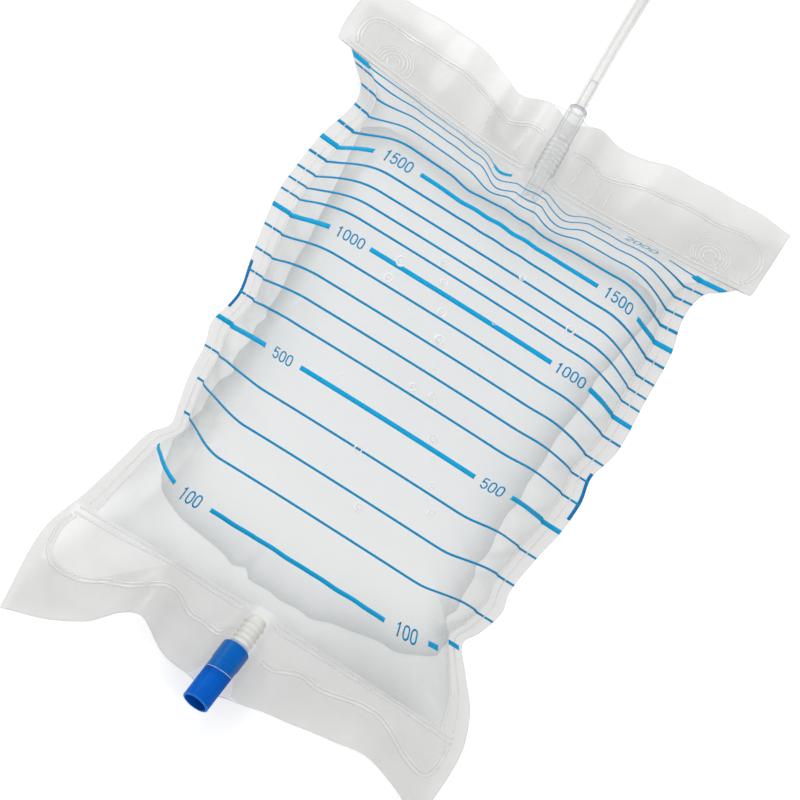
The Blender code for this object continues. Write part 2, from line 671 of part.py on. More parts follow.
def tube_connector(finish, cap_finish, home):
    """The stepped connector on the hose's end and the cap that is pushed over its taper."""
    place, way, _, _ = connector_place()
    axis = bpy.data.objects.new("connector_axis", None)
    home.objects.link(axis)
    axis.location = place + way * (HOSE_BEYOND_BEND + GAP)
    axis.rotation_mode = "QUATERNION"
    axis.rotation_quaternion = way.to_track_quat("Z", "Y")
    end = CONNECTOR_GRIP + CONNECTOR_TAPER
    outline = [(CONNECTOR_BORE_RADIUS, end), (TAPER_END_RADIUS, end)]
    for i in reversed(range(TAPER_STEPS)):
        low = CONNECTOR_GRIP + CONNECTOR_TAPER * i / TAPER_STEPS
        fall = (TAPER_START_RADIUS - TAPER_END_RADIUS) / TAPER_STEPS
        outline.append((TAPER_END_RADIUS + fall * (TAPER_STEPS - i), low + EDGE))
        if i:
            outline.append((TAPER_END_RADIUS + fall * (TAPER_STEPS - i) - fall * TAPER_BARB, low))
    outline += [
        (TAPER_START_RADIUS, CONNECTOR_GRIP), (CONNECTOR_GRIP_RADIUS, CONNECTOR_GRIP - LEAD),
        (CONNECTOR_GRIP_RADIUS, LEAD), (HOSE_RADIUS + GAP, 0), (CONNECTOR_BORE_RADIUS, 0),
    ]
    connector = turned("tube_connector", outline, finish, home, axis)
    cap_axis = bpy.data.objects.new("cap_axis", None)
    home.objects.link(cap_axis)
    cap_axis.parent = axis
    cap_axis.location.z = CONNECTOR_GRIP + GAP
    bore = TAPER_START_RADIUS + GAP
    cap_outline = [
        (0, CAP_LENGTH), (bore + CAP_WALL - LEAD, CAP_LENGTH), (bore + CAP_WALL, CAP_LENGTH - LEAD),
        (bore + CAP_WALL, 0), (bore, 0), (bore, CAP_LENGTH - CAP_END_WALL), (0, CAP_LENGTH - CAP_END_WALL),
    ]
    cap = turned("connector_cap", cap_outline, cap_finish, home, cap_axis)
    return connector, cap


def build():
    clear_scene()
    bag = new_collection("drainage_bag")
    helpers = new_collection("cutters", hidden=True)
    film = plastic("clear_film", (0.80, 0.84, 0.85), 0.25, 0.45)
    clear = plastic("clear_vinyl", (0.82, 0.84, 0.84), 0.15, 0.5)
    milky = plastic("milky_plastic", (0.86, 0.86, 0.80), 0.35)
    blue = plastic("blue_plastic", (0.005, 0.10, 0.52), 0.35)
    seal = plastic("seal_rubber", (0.75, 0.75, 0.72), 0.6)
    cap_finish = plastic("cap_plastic", (0.75, 0.78, 0.80), 0.3)
    film_sheet("front_sheet", True, film, bag)
    film_sheet("back_sheet", False, film, bag)
    inlet = port_axis("inlet_axis", True, bag)
    outlet = port_axis("outlet_axis", False, bag)
    pieces = [inlet_port(inlet, clear, bag), outlet_spigot(outlet, milky, bag), outlet_seal(outlet, seal, bag)]
    non_return_valve(inlet, film, bag)
    valve_sleeve(outlet, blue, bag, helpers)
    inlet_hose(clear, bag)
    pieces.append(hose_coil(clear, bag))
    end_hose(clear, bag)
    pieces += tube_connector(clear, cap_finish, bag)
    for made in pieces:
        smooth_shade(made)
    bpy.context.view_layer.update()


build()
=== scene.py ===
"""The looks of the drainage bag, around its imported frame: the two film sheets with their folds, welds and
printed scale, the drops on the film, the ports, the valve and the hose. Metres, in the frame's own axes: +Z
up out of the printed front, +Y towards the inlet, origin on the surface under the middle of the chamber.
"""

from math import cos, pi, radians, sin

import bpy
import numpy as np
from mathutils import Matrix, Vector


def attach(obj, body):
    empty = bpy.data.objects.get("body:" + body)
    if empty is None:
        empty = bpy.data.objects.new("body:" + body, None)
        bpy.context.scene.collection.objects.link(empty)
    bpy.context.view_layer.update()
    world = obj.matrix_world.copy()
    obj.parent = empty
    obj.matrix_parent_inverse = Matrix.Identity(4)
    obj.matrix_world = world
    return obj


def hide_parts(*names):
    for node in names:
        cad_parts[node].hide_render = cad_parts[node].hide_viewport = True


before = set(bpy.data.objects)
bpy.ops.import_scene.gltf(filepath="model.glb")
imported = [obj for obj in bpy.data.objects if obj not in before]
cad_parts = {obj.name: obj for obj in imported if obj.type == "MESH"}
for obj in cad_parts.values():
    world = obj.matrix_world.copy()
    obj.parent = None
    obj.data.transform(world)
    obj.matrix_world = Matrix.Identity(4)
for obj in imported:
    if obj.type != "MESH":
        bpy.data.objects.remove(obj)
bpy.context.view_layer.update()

MM = 0.001

# The bag, as the frame has it, apart from the film's edge by the ports, which follows the photograph
FILM = 0.4 * MM
GAP = 0.3 * MM
HALF_CHAMBER = 134 * MM
HALF_WIDTH = 103 * MM
SIDE_FLANGE = 11 * MM
SEAM = HALF_WIDTH - SIDE_FLANGE
THICKNESS = 44 * MM
SEAM_HEIGHT = 20 * MM
FRONT_ROUND = 28 * MM
FRONT_END_ROUND = 44 * MM
BACK_ROUND = 15 * MM
BACK_END_ROUND = 26 * MM
CROWN_FALL = 0.10
WAIST_PULL = 0.064
PULL_CENTRE = -27 * MM
TOP_FLANGE = 43 * MM
BOTTOM_FLANGE = 45 * MM
NOTCH = 6 * MM
NOTCH_SIDES = (8 * MM, 11.5 * MM)
TOP_NOTCH = 2.2 * MM
TOP_NOTCH_SIDES = (4 * MM, 12 * MM)
BACK_NOTCH_SHARE = 0.3
FILM_STEEPNESS = 2.3
DRAWN_ACROSS = (0.58, 0.92)
DRAWN_TILL = 0.72
END_WELD_FROM = 0.7
LIFT_FROM = 0.55
COVER_RUN = 6 * MM
COVER_FULL = 2 * MM
LEFT_SIDE = (
    (-1.47, 1.02), (-1.16, 1.05), (-0.97, 0.98), (-0.81, 0.92), (-0.69, 0.88), (-0.61, 0.82), (-0.52, 0.84),
    (-0.41, 0.87), (-0.25, 0.89), (-0.16, 0.92), (-0.08, 0.90), (0.00, 0.89), (0.12, 0.92), (0.28, 0.96),
    (0.43, 0.99), (0.56, 0.99), (0.72, 0.97), (0.85, 0.92), (0.91, 0.94), (0.97, 1.04), (1.04, 1.13),
    (1.13, 1.17), (1.37, 1.17),
)
RIGHT_SIDE = (
    (-1.33, 1.11), (-1.05, 1.12), (-0.91, 1.06), (-0.82, 0.95), (-0.74, 0.86), (-0.66, 0.90), (-0.54, 0.94),
    (-0.46, 0.92), (-0.26, 0.95), (-0.13, 0.98), (0.01, 0.99), (0.13, 0.97), (0.28, 1.01), (0.50, 1.00),
    (0.72, 0.99), (0.84, 0.95), (0.93, 0.98), (0.97, 1.06), (1.06, 1.16), (1.20, 1.18), (1.43, 1.19),
)
TOP_REACH = (
    (-1.0, 1.14), (-0.79, 1.21), (-0.45, 1.05), (-0.27, 0.95), (-0.07, 0.95), (0.07, 0.97), (0.17, 1.02),
    (0.35, 1.02), (0.54, 1.12), (0.80, 1.26), (1.0, 1.33),
)
BOTTOM_REACH = (
    (-1.0, 1.40), (-0.84, 1.31), (-0.64, 1.09), (-0.53, 0.84), (-0.45, 0.78), (-0.36, 0.84), (-0.22, 0.98),
    (0.0, 1.00), (0.16, 0.98), (0.34, 0.84), (0.58, 0.78), (0.74, 0.74), (0.87, 0.82), (1.0, 0.98),
)
TOP_WELD_LIFT = ((-1.0, 0.26), (-0.7, 0.13), (-0.3, 0.02), (0.0, 0.0), (0.3, 0.02), (0.7, 0.13), (1.0, 0.26))
TOP_WELD_HEIGHT = ((-1.0, 0.70), (-0.5, 0.90), (0.0, 1.0), (0.5, 0.90), (1.0, 0.70))
TOP_EDGE_HEIGHT = (
    (-1.0, 0.35), (-0.75, 0.62), (-0.48, 0.95), (-0.28, 0.68), (-0.12, 1.0), (0.12, 1.0), (0.30, 0.70),
    (0.52, 0.98), (0.78, 0.62), (1.0, 0.30),
)
BOTTOM_WELD_HEIGHT = ((-1.0, 0.62), (-0.5, 0.76), (0.0, 0.82), (0.5, 0.76), (1.0, 0.62))
BOTTOM_EDGE_HEIGHT = (
    (-1.0, 0.22), (-0.75, 0.52), (-0.48, 0.98), (-0.30, 0.62), (-0.12, 0.82), (0.12, 0.82), (0.36, 0.55),
    (0.62, 0.92), (0.84, 0.50), (1.0, 0.25),
)
SIDE_HEIGHT = (
    (-1.0, 0.80), (-0.74, 1.0), (-0.58, 0.90), (-0.42, 1.05), (-0.20, 0.92), (0.0, 1.06), (0.20, 0.94),
    (0.42, 1.06), (0.62, 0.94), (0.80, 1.04), (1.0, 0.85),
)
COVER = ((0.0, 1.06), (0.35, 1.03), (0.7, 0.88), (1.1, 0.5), (1.5, 0.2), (2.2, 0.0))

# The ports and the hose, as the frame has them. The insert and what is named SEEN follow the photograph
INLET_SHIFT = 2 * MM
INLET_TURN = radians(2.5)
INLET_TAIL = 10 * MM
INLET_TAIL_RADIUS = 4.2 * MM
INLET_RIBS_START = 6 * MM
INLET_RIB_COUNT = 7
INLET_RIB_PITCH = 2.7 * MM
INLET_RIB_RADIUS = 5.6 * MM
INLET_ROOT_RADIUS = 4.9 * MM
INLET_LENGTH = 46 * MM
INLET_COLLAR_RADIUS = 5.0 * MM
INLET_BORE_RADIUS = 2.4 * MM
SOCKET_DEPTH = 18 * MM
INSERT_LENGTH = 39 * MM
INSERT_RADIUS = 2.2 * MM
OUTLET_SHIFT = 1 * MM
OUTLET_TURN = radians(5)
SPIGOT_TAIL = 8 * MM
SPIGOT_RIBS_END = 19 * MM
SPIGOT_RIB_COUNT = 5
SPIGOT_RIB_PITCH = 3.0 * MM
SPIGOT_RIB_RADIUS = 5.5 * MM
SPIGOT_ROOT_RADIUS = 4.6 * MM
SPIGOT_BORE_RADIUS = 2.6 * MM
SPIGOT_SEEN_FROM = 3.5 * MM
SPIGOT_SEEN_RIBS_END = 21.4 * MM
NECK_RADIUS = 4.0 * MM
SHOULDER = 31 * MM
NOSE_RADIUS = 5.1 * MM
NOSE_LENGTH = 9 * MM
SEAL_THICKNESS = 0.9 * MM
SEAL_FROM_SHOULDER = 4 * MM
COLLAR_START = 22 * MM
VALVE_RADIUS = 6.9 * MM
VALVE_LENGTH = 34 * MM
VALVE_COLLAR_RADIUS = 7.2 * MM
HOSE_RADIUS = 3.25 * MM
HOSE_BORE = 2.3 * MM
HOSE_ROUTE = (
    (-0.8 * MM, 18 * MM, 0.964), (-1.4 * MM, 34 * MM, 0.82), (-1.8 * MM, 50 * MM, 0.593),
    (-2.0 * MM, 65 * MM, 0.353), (-2.1 * MM, 79 * MM, 0.162), (-2.0 * MM, 92 * MM, 0.042),
    (-1.9 * MM, 107 * MM, 0.0),
)
COIL_FROM_MOUTH = (-41.2 * MM, 132 * MM)
COIL_MIDDLE_RADIUS = 36.5 * MM
COIL_TOP = 12.9 * MM
END_BEND = 26 * MM
CONNECTOR_TURN = radians(190)
CONNECTOR_LIFT = 5.6 * MM
HOSE_BEYOND_BEND = 3 * MM

# The coil's turns: a turn count with the radius or the height there, in mm
COIL_RADII = ((0.0, 39.8), (0.84, 39.8), (0.98, 33.1), (1.78, 33.1), (1.92, 36.5), (3.1, 36.5))
COIL_HEIGHTS = ((0.0, 3.35), (1.66, 3.35), (1.84, 9.6), (2.60, 9.6), (2.86, 16.45), (3.1, 16.45))
COIL_START_TURN = 0.015
COIL_END_TURN = 3.0278

# The camera that matches the photograph
ELEVATION = radians(66)
ROLL = radians(32.2)
DISTANCE = 2.6
LOOK_AT = (-2 * MM, -4 * MM, 20 * MM)
LOOK_ASIDE = (2.9 * MM, -2.4 * MM)
WIDTH_AT_TARGET = 384.6 * MM
SENSOR = 36.0

# The film's fine grid, and the sides of the round pieces
INNER_COLUMNS = 80
FLANGE_COLUMNS = 10
CHAMBER_ROWS = 230
FLANGE_ROWS = 44
HOSE_SIDES = 20
TURNED_SIDES = 40

# Where the front film lies tight on the valve's collar: how far to the sides of the bag's middle line, and
# from how far beyond the collar's start on. Both are soft edges, from one value to the other
TIGHT_SIDES = (5.0 * MM, 7.2 * MM)
TIGHT_END = (-1.5 * MM, 0.5 * MM)

# The printed scale: where each line lies along the flat sheet, in mm, with its numeral. Thin lines below
# LOW_LEFT_ENDS stop short of the left edge, and those beyond CLOSE_FROM are thinner. SLIMMER has the shares
# of THICK_LINE of the numbered lines that are slimmer
NUMBERED = ((-112.2, "100"), (-28.2, "500"), (43.9, "1000"), (91.3, "1500"), (129.5, "2000"))
THIN_PLACES = (
    -90.0, -69.0, -48.3, -10.1, 4.1, 17.7, 31.9, 54.6, 63.4, 72.7, 82.7, 100.1, 108.5, 116.0, 122.8,
)
LOW_LEFT_ENDS = -60
THIN_LINE = 1.25 * MM
THICK_LINE = 2.6 * MM
CLOSE_FROM = 105
CLOSE_SHARE = 0.75
SLIMMER = {"100": 0.74, "1500": 0.86}
INK = 0.05 * MM
INK_LIFT = 0.06 * MM
DIGIT_HEIGHT = 6.1 * MM
DIGIT_ADVANCE = 0.68
DIGIT_STROKE = 0.13
LAST_DIGITS_SQUASHED = 0.75
PRINT_SHIFT = -3.0 * MM

# Each numbered line's solid stretches across the sheet, in mm, and the middles of its numerals. The last line
# has thin stretches too, and the 100 line has one more bit at its right, a little further up
STRETCHES = {
    "100": ((-92.5, -68), (-45, 54), (78, 84)),
    "500": ((-103, -68), (-46, 55), (75, 103)),
    "1000": ((-103, -70), (-47, 56), (77, 103)),
    "1500": ((-103, -72), (-46, 56), (80, 103)),
    "2000": ((-103, -92.5), (-19, -9), (89, 103)),
}
NUMERALS = {"100": (-57, 66), "500": (-57, 65), "1000": (-58.5, 66.5), "1500": (-59, 68), "2000": (62,)}
LAST_THIN = ((-92.5, -19), (7, 46), (76, 89))
LOW_RIGHT_BIT = ((94, 101),)
LOW_RIGHT_BIT_LIFT = 5

# The dark bars on the side edges: their ends along and their sides' distances from the edge, in mm
EDGE_BAR_ENDS = (-10, 19.5)
EDGE_BAR_INSETS = (1.9, 0.1)

# How far the print is drawn down beside the port, in mm, by its place along in mm
LEFT_PULL = ((85, 0.0), (91, 0.5), (98, 1.7), (106, 2.8), (114, 6.0), (121, 7.0), (130, 8.0))
LEFT_PULL_MIDDLE = ((98, -23.0), (106, -17.0), (114, -12.0), (121, -14.0), (130, -15.0))
RIGHT_PULL = ((91, 0.0), (98, 0.7), (106, 2.8), (114, 6.0), (121, 7.0), (130, 8.0))
MIDDLE_PULL = ((106, 0.0), (114, 2.9), (121, 2.5), (130, 4.0))

# How far the print rises towards the side edges, in mm, by its place along in mm
LEFT_LIFT = (
    (-120, 17.0), (-110, 17.0), (-90, 18.0), (-69, 15.6), (-48, 13.5), (-27, 11.0), (43, 8.6), (92, 5.5),
    (107, 6.0), (122, 6.0), (130, 2.0),
)
RIGHT_LIFT = (
    (-120, 3.0), (-110, 5.0), (-90, 10.5), (-69, 11.5), (-48, 10.7), (-27, 10.3), (43, 8.6), (92, 7.0),
    (107, 4.0), (114, 2.5), (122, 1.0), (130, 0.0),
)

# The patch of the back sheet that rests on the surface, as places in plan in mm, with painted shade along its
# edge. The painted shade fades over its insets, which go outwards too along its top side
PATCH_MIDDLE = (0, -5)
PATCH = (
    (-85.9, 118.2), (-84.0, 102.9), (-82.1, 90.8), (-80.7, 77.3), (-79.4, 63.8), (-77.8, 51.6), (-77.7, 40.5),
    (-77.0, 29.7), (-75.8, 21.5), (-75.6, 13.4), (-76.1, 7.1), (-74.6, 3.1), (-76.4, -3.2), (-74.9, -11.2),
    (-76.5, -18.6), (-76.2, -25.9), (-73.6, -30.3), (-76.6, -37.4), (-77.2, -48.7), (-76.4, -56.1),
    (-78.2, -62.3), (-77.0, -67.4), (-80.0, -74.4), (-78.9, -82.4), (-77.4, -90.2), (-74.6, -97.1),
    (-70.7, -102.2), (-65.2, -105.3), (-56.0, -108.8), (-44.2, -110.5), (-30.4, -112.6), (-23.7, -114.9),
    (-17.8, -112.8), (-13.6, -116.7), (-3.1, -116.4), (3.8, -117.4), (13.9, -116.4), (21.5, -117.0),
    (30.0, -113.6), (40.0, -111.5), (54.7, -108.2), (63.6, -108.1), (74.2, -103.4), (81.5, -98.5),
    (81.6, -94.9), (82.4, -88.4), (76.1, -79.4), (78.2, -73.2), (77.3, -66.7), (77.1, -53.5), (75.4, -48.6),
    (76.8, -39.2), (75.4, -26.7), (75.0, -16.1), (76.6, -8.9), (75.7, 2.7), (76.7, 17.0), (76.1, 30.2),
    (78.9, 60.0), (77.5, 68.8), (79.8, 79.1), (81.7, 93.1), (83.6, 104.2), (85.6, 113.4), (84.0, 121.4),
    (74, 126), (40, 122), (0, 120), (-40, 121), (-74, 125),
)
PATCH_INSETS = (-11, -8, -5, -2, 0, 0.8, 2, 4, 7, 11, 16, 22, 30, 40)
PATCH_TOP_FROM = (98, 116)
PATCH_TOP_SIDES = (62, 80)
PATCH_FADE = 13


def hermite(points, x):
    """The heights at x of the smooth curve through (place, height) points, level beyond its ends."""
    xs, ys = (np.array(column, dtype=float) for column in zip(*points))
    slopes = np.empty_like(ys)
    slopes[1:-1] = (ys[2:] - ys[:-2]) / (xs[2:] - xs[:-2])
    slopes[0] = (ys[1] - ys[0]) / (xs[1] - xs[0])
    slopes[-1] = (ys[-1] - ys[-2]) / (xs[-1] - xs[-2])
    inside = np.clip(x, xs[0], xs[-1])
    at = np.clip(np.searchsorted(xs, inside, side="right") - 1, 0, len(xs) - 2)
    span = xs[at + 1] - xs[at]
    t = (inside - xs[at]) / span
    rise = (2 * t**3 - 3 * t**2 + 1) * ys[at] + (3 * t**2 - 2 * t**3) * ys[at + 1]
    return rise + span * ((t**3 - 2 * t**2 + t) * slopes[at] + (t**3 - t**2) * slopes[at + 1])


def step(low, high, x):
    """0 up to low, 1 from high on, and a smooth rise between."""
    t = np.clip((x - low) / (high - low), 0, 1)
    return t * t * (3 - 2 * t)


def stepped(points, x):
    """A height that is level between equal heights and goes smoothly from one to the next."""
    for (x0, y0), (x1, y1) in zip(points, points[1:]):
        if x <= x1:
            return y0 + (y1 - y0) * float(step(x0, x1, x))
    return points[-1][1]


def bump(x, centre, half_width):
    """A smooth hump: 1 at its centre and 0 beyond its half width."""
    return 1 - step(0, half_width, np.abs(x - centre))


def unit(ways):
    """The same ways, each of length 1."""
    return ways / np.linalg.norm(ways, axis=-1, keepdims=True)


def rounded(reach):
    """How far a film wall has risen: 0 at the weld, 1 from the end of its round on."""
    return 1 - (1 - np.clip(reach, 0, 1)) ** FILM_STEEPNESS


def spine(along):
    """The place across of the bag's middle line, which runs into both ports."""
    inlet_out = np.maximum(0, along - HALF_CHAMBER)
    outlet_out = np.maximum(0, -along - HALF_CHAMBER)
    top = INLET_SHIFT * step(0, HALF_CHAMBER, along) - sin(INLET_TURN) * inlet_out
    bottom = OUTLET_SHIFT * step(0, HALF_CHAMBER, -along) - sin(OUTLET_TURN) * outlet_out
    return top + bottom


def plan_x(across, along):
    """The place across the bag of a point of the flat sheet, once the bag is inflated."""
    station = along / HALF_CHAMBER
    width = np.where(across < 0, hermite(LEFT_SIDE, station), hermite(RIGHT_SIDE, station))
    share = np.abs(across) / HALF_WIDTH
    return spine(along) * (1 - share) ** 2 + across * (1 + (width - 1) * share)


def plan_y(across, along):
    """The place along the bag of a point of its chamber. The sides are drawn in towards the middle."""
    share = across / HALF_WIDTH
    drawn = step(*DRAWN_ACROSS, np.abs(share)) * (1 - step(DRAWN_TILL, 1, np.abs(along) / HALF_CHAMBER))
    lift = hermite(TOP_WELD_LIFT, share) * TOP_FLANGE * step(LIFT_FROM, 1, along / HALF_CHAMBER)
    return along - WAIST_PULL * (along - PULL_CENTRE) * drawn + lift


def weld_height(across, along):
    """The height of the seam between the sheets, anywhere between the chamber's end welds."""
    share = across / HALF_WIDTH
    end = np.where(along > 0, hermite(TOP_WELD_HEIGHT, share), hermite(BOTTOM_WELD_HEIGHT, share))
    at_end = step(END_WELD_FROM, 1, np.abs(along) / HALF_CHAMBER)
    side = hermite(SIDE_HEIGHT, along / HALF_CHAMBER)
    return SEAM_HEIGHT * (side * (1 - at_end) + end * at_end)


def port_cover(across, along):
    """How far each sheet stands off the seam where it passes over a port."""
    inlet_radius = INLET_RIB_RADIUS + GAP
    inlet_here = step(-INLET_TAIL - COVER_RUN, -COVER_FULL, along - HALF_CHAMBER)
    out = -along - HALF_CHAMBER
    over_valve = step(SPIGOT_RIBS_END - COVER_RUN, SPIGOT_RIBS_END, out)
    outlet_radius = GAP + SPIGOT_RIB_RADIUS * (1 - over_valve) + VALVE_COLLAR_RADIUS * over_valve
    outlet_here = step(-SPIGOT_TAIL - COVER_RUN, -COVER_FULL, out)
    inlet = inlet_here * inlet_radius * hermite(COVER, np.abs(across) / inlet_radius)
    outlet = outlet_here * outlet_radius * hermite(COVER, np.abs(across) / outlet_radius)
    return np.where(along > 0, inlet, outlet)


def folds(across, along, front):
    """How far the film stands off its plain shape: puckers along the welds and slow waves elsewhere."""
    x, y = across / MM, along / MM
    from_seam = (SEAM - np.abs(across)) / MM
    from_end = (HALF_CHAMBER - np.abs(along)) / MM
    inside = step(0, 6, from_seam) * step(0, 5, from_end)
    side = np.where(x < 0, 1.0, 2.3)
    beside = step(0, 9, from_seam) * (1 - step(9, 34, from_seam))
    pucker = np.sin(y * 0.27 + 1.9 * np.sin(y * 0.061 + side) + side) + 0.5 * np.sin(y * 0.52 + side * 3)
    lifted = 0.45 * beside * pucker
    near_end = step(0, 8, from_end) * (1 - step(8, 40, from_end))
    run = np.sin(x * 0.21 + 1.5 * np.sin(x * 0.045 + np.sign(y))) + 0.6 * np.sin(x * 0.43 + 0.7)
    lifted += 0.5 * near_end * run * (1 - step(60, 90, np.abs(x)))
    lifted += 0.35 * np.sin(x * 0.031 + 0.4) * np.sin(y * 0.026 + 1.1) * inside
    if front:
        at_port = bump(y, 118, 26) * (bump(x, -14, 16) * 1.8 + bump(x, 24, 16) * 2.0)
        lifted -= at_port * inside
    return lifted * MM * inside


def flange_folds(across, out, top):
    """The waves of an end flange, both sheets together. out is 0 on the weld and 1 at the edge."""
    x = across / MM
    grown = step(0, 0.35, out)
    if top:
        waves = 0.9 * np.sin(x * 0.13 + 2.2 * out + 0.6) + 0.6 * np.sin(x * 0.31 - 1.4 * out)
        deep = -3.0 * bump(x, -27, 11) * step(0, 0.5, out) - 2.0 * bump(x, 27, 12) * step(0, 0.6, out)
    else:
        waves = 0.8 * np.sin(x * 0.11 - 2.0 * out + 0.9) + 0.6 * np.sin(x * 0.27 + 1.7 * out)
        deep = 2.6 * bump(x, -40, 14) * step(0.1, 0.8, out) - 2.0 * bump(x, -62, 18) * step(0.1, 0.8, out)
    clear_of_port = step(8, 20, np.abs(x))
    return (waves * grown * clear_of_port + deep) * MM


def contact_wave(across, along):
    """How much wider the back sheet's round is from place to place, so that its resting edge is wavy."""
    x, y = across / MM, along / MM
    on_side = np.sin(y * 0.19 + 1.3 * np.sin(y * 0.05)) + 0.6 * np.sin(y * 0.41 + 1.0)
    on_end = np.sin(x * 0.15 + 0.8) + 0.7 * np.sin(x * 0.33)
    by_end = step(0.7, 0.9, np.abs(along) / HALF_CHAMBER)
    return (3.0 + 2.4 * (on_side * (1 - by_end) + on_end * by_end)) * MM


def chamber_film(across, along, front):
    """Points of one sheet's inner face between the end welds, or on the side flange beside them."""
    inward = (SEAM - np.abs(across), HALF_CHAMBER - np.abs(along))
    seam = weld_height(across, along)
    cover = port_cover(across, along)
    if front:
        rise = rounded(inward[0] / FRONT_ROUND) * rounded(inward[1] / FRONT_END_ROUND)
        crown = 1 - CROWN_FALL * (across / SEAM) ** 2
        plain = np.maximum((THICKNESS - FILM - seam) * rise * crown, cover)
        height = np.minimum(seam + GAP / 2 + plain + folds(across, along, True), THICKNESS + 1.5 * MM)
    else:
        wave = contact_wave(across, along)
        rise = rounded(inward[0] / (BACK_ROUND + wave)) * rounded(inward[1] / (BACK_END_ROUND + wave))
        away = GAP / 2 + np.maximum((seam - GAP / 2 - FILM) * rise, cover)
        height = np.maximum(FILM, seam - away)
    return np.stack([plan_x(across, along), plan_y(across, along), height], axis=-1)


def flange_depth(share, top):
    """How far an end flange reaches beyond the end weld."""
    return (TOP_FLANGE if top else BOTTOM_FLANGE) * hermite(TOP_REACH if top else BOTTOM_REACH, share)


def flange_film(across, out, top, front):
    """Points of one sheet's inner face on an end flange: out is 0 on the weld and 1 at the edge."""
    share = across / HALF_WIDTH
    sign = 1 if top else -1
    depth = flange_depth(share, top)
    if top:
        notch = TOP_NOTCH * (1.0 if front else BACK_NOTCH_SHARE)
        depth = depth - notch * (1 - step(*TOP_NOTCH_SIDES, np.abs(across - INLET_SHIFT)))
    elif front:
        depth = depth - NOTCH * (1 - step(*NOTCH_SIDES, np.abs(across)))
    end = np.full_like(across, sign * HALF_CHAMBER)
    weld = plan_y(across, end)
    along = weld + (sign * (HALF_CHAMBER + depth) - weld) * out
    edge_height = SEAM_HEIGHT * hermite(TOP_EDGE_HEIGHT if top else BOTTOM_EDGE_HEIGHT, share)
    seam = weld_height(across, end)
    middle = seam + (edge_height - seam) * step(0, 1, out) + flange_folds(across, out, top)
    middle = np.maximum(middle, FILM + GAP)
    away = GAP / 2 + port_cover(across, along)
    height = middle + away if front else np.maximum(FILM, middle - away)
    return np.stack([plan_x(across, along), along, height], axis=-1)


def film(across, reach, front):
    """Points of a sheet's inner face. reach is -1 to 1 in the chamber, and goes on to 2 or -2 on a flange."""
    across, reach = np.broadcast_arrays(np.asarray(across, float), np.asarray(reach, float))
    out = np.clip(np.abs(reach) - 1, 0, 1)
    points = chamber_film(across, np.clip(reach, -1, 1) * HALF_CHAMBER, front)
    top = flange_film(across, out, True, front)
    bottom = flange_film(across, out, False, front)
    points = np.where((reach > 1)[..., None], top, points)
    return np.where((reach < -1)[..., None], bottom, points)


def film_way(across, reach, front):
    """The way out of the bag from a sheet."""
    small, small_reach = 0.4 * MM, 0.003
    low, high = np.maximum(reach - small_reach, -2), np.minimum(reach + small_reach, 2)
    side = film(across + small, reach, front) - film(across - small, reach, front)
    up = film(across, high, front) - film(across, low, front)
    way = unit(np.cross(side, up))
    return way if front else -way


def on_front(across, reach, lift):
    """Points on the front sheet's outer face, lifted from it."""
    across, reach = np.asarray(across, float), np.asarray(reach, float)
    return film(across, reach, True) + film_way(across, reach, True) * (FILM + lift)


def flange_place(x, y):
    """The (across, reach) of a point of an end flange, from its place in plan."""
    top = y > 0
    sign = 1 if top else -1
    across = x
    for _ in range(12):
        across = across - (float(plan_x(np.array(across), np.array(y))) - x)
    share = across / HALF_WIDTH
    weld = float(plan_y(np.array(across), np.array(sign * HALF_CHAMBER)))
    out = (y - weld) / (sign * (HALF_CHAMBER + float(flange_depth(share, top))) - weld)
    return across, sign * (1 + out)


def new_object(name, data):
    """A new object in the scene."""
    made = bpy.data.objects.new(name, data)
    bpy.context.scene.collection.objects.link(made)
    return made


def camera():
    """The camera, rolled and aimed as the photograph was taken."""
    way = Vector((0, -cos(ELEVATION), sin(ELEVATION)))
    up0 = Vector((0, sin(ELEVATION), cos(ELEVATION)))
    side0 = Vector((1, 0, 0))
    side = side0 * cos(ROLL) + up0 * sin(ROLL)
    up = up0 * cos(ROLL) - side0 * sin(ROLL)
    target = Vector(LOOK_AT) + side * LOOK_ASIDE[0] + up * LOOK_ASIDE[1]
    data = bpy.data.cameras.new("camera")
    data.sensor_width = SENSOR
    data.lens = SENSOR * DISTANCE / WIDTH_AT_TARGET
    data.clip_end = 20
    made = new_object("camera", data)
    turn = Matrix((side, up, way)).transposed().to_4x4()
    made.matrix_world = Matrix.Translation(target + way * DISTANCE) @ turn
    bpy.context.scene.camera = made


def piece(name, points, faces, finish, body="bag"):
    """A smooth mesh that rides a body."""
    mesh = bpy.data.meshes.new(name)
    mesh.from_pydata([tuple(p) for p in points], [], faces)
    mesh.materials.append(finish)
    made = new_object(name, mesh)
    mesh.shade_smooth()
    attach(made, body)
    return made


def grid_faces(rows, columns, first=0):
    """The faces of a grid of points that are listed row by row."""
    corner = [first + i * columns + j for i in range(rows - 1) for j in range(columns - 1)]
    return [(a, a + 1, a + columns + 1, a + columns) for a in corner]


def ring_faces(rings, count, first=0, closed=False):
    """The faces between rings of points, listed ring by ring. closed joins the last ring to the first."""
    faces = []
    for i in range(rings if closed else rings - 1):
        here, there = first + i * count, first + (i + 1) % rings * count
        for j in range(count):
            k = (j + 1) % count
            faces.append((here + j, here + k, there + k, there + j))
    return faces


def listed(rows):
    """Rows of points as one list."""
    return [tuple(p) for p in np.stack(rows).reshape(-1, 3)]


def written(made, name, values):
    """Stores a value for every point of a piece, for its finish to read."""
    kept = made.data.attributes.new(name, "FLOAT", "POINT")
    kept.data.foreach_set("value", np.ascontiguousarray(values, dtype=float).reshape(-1))


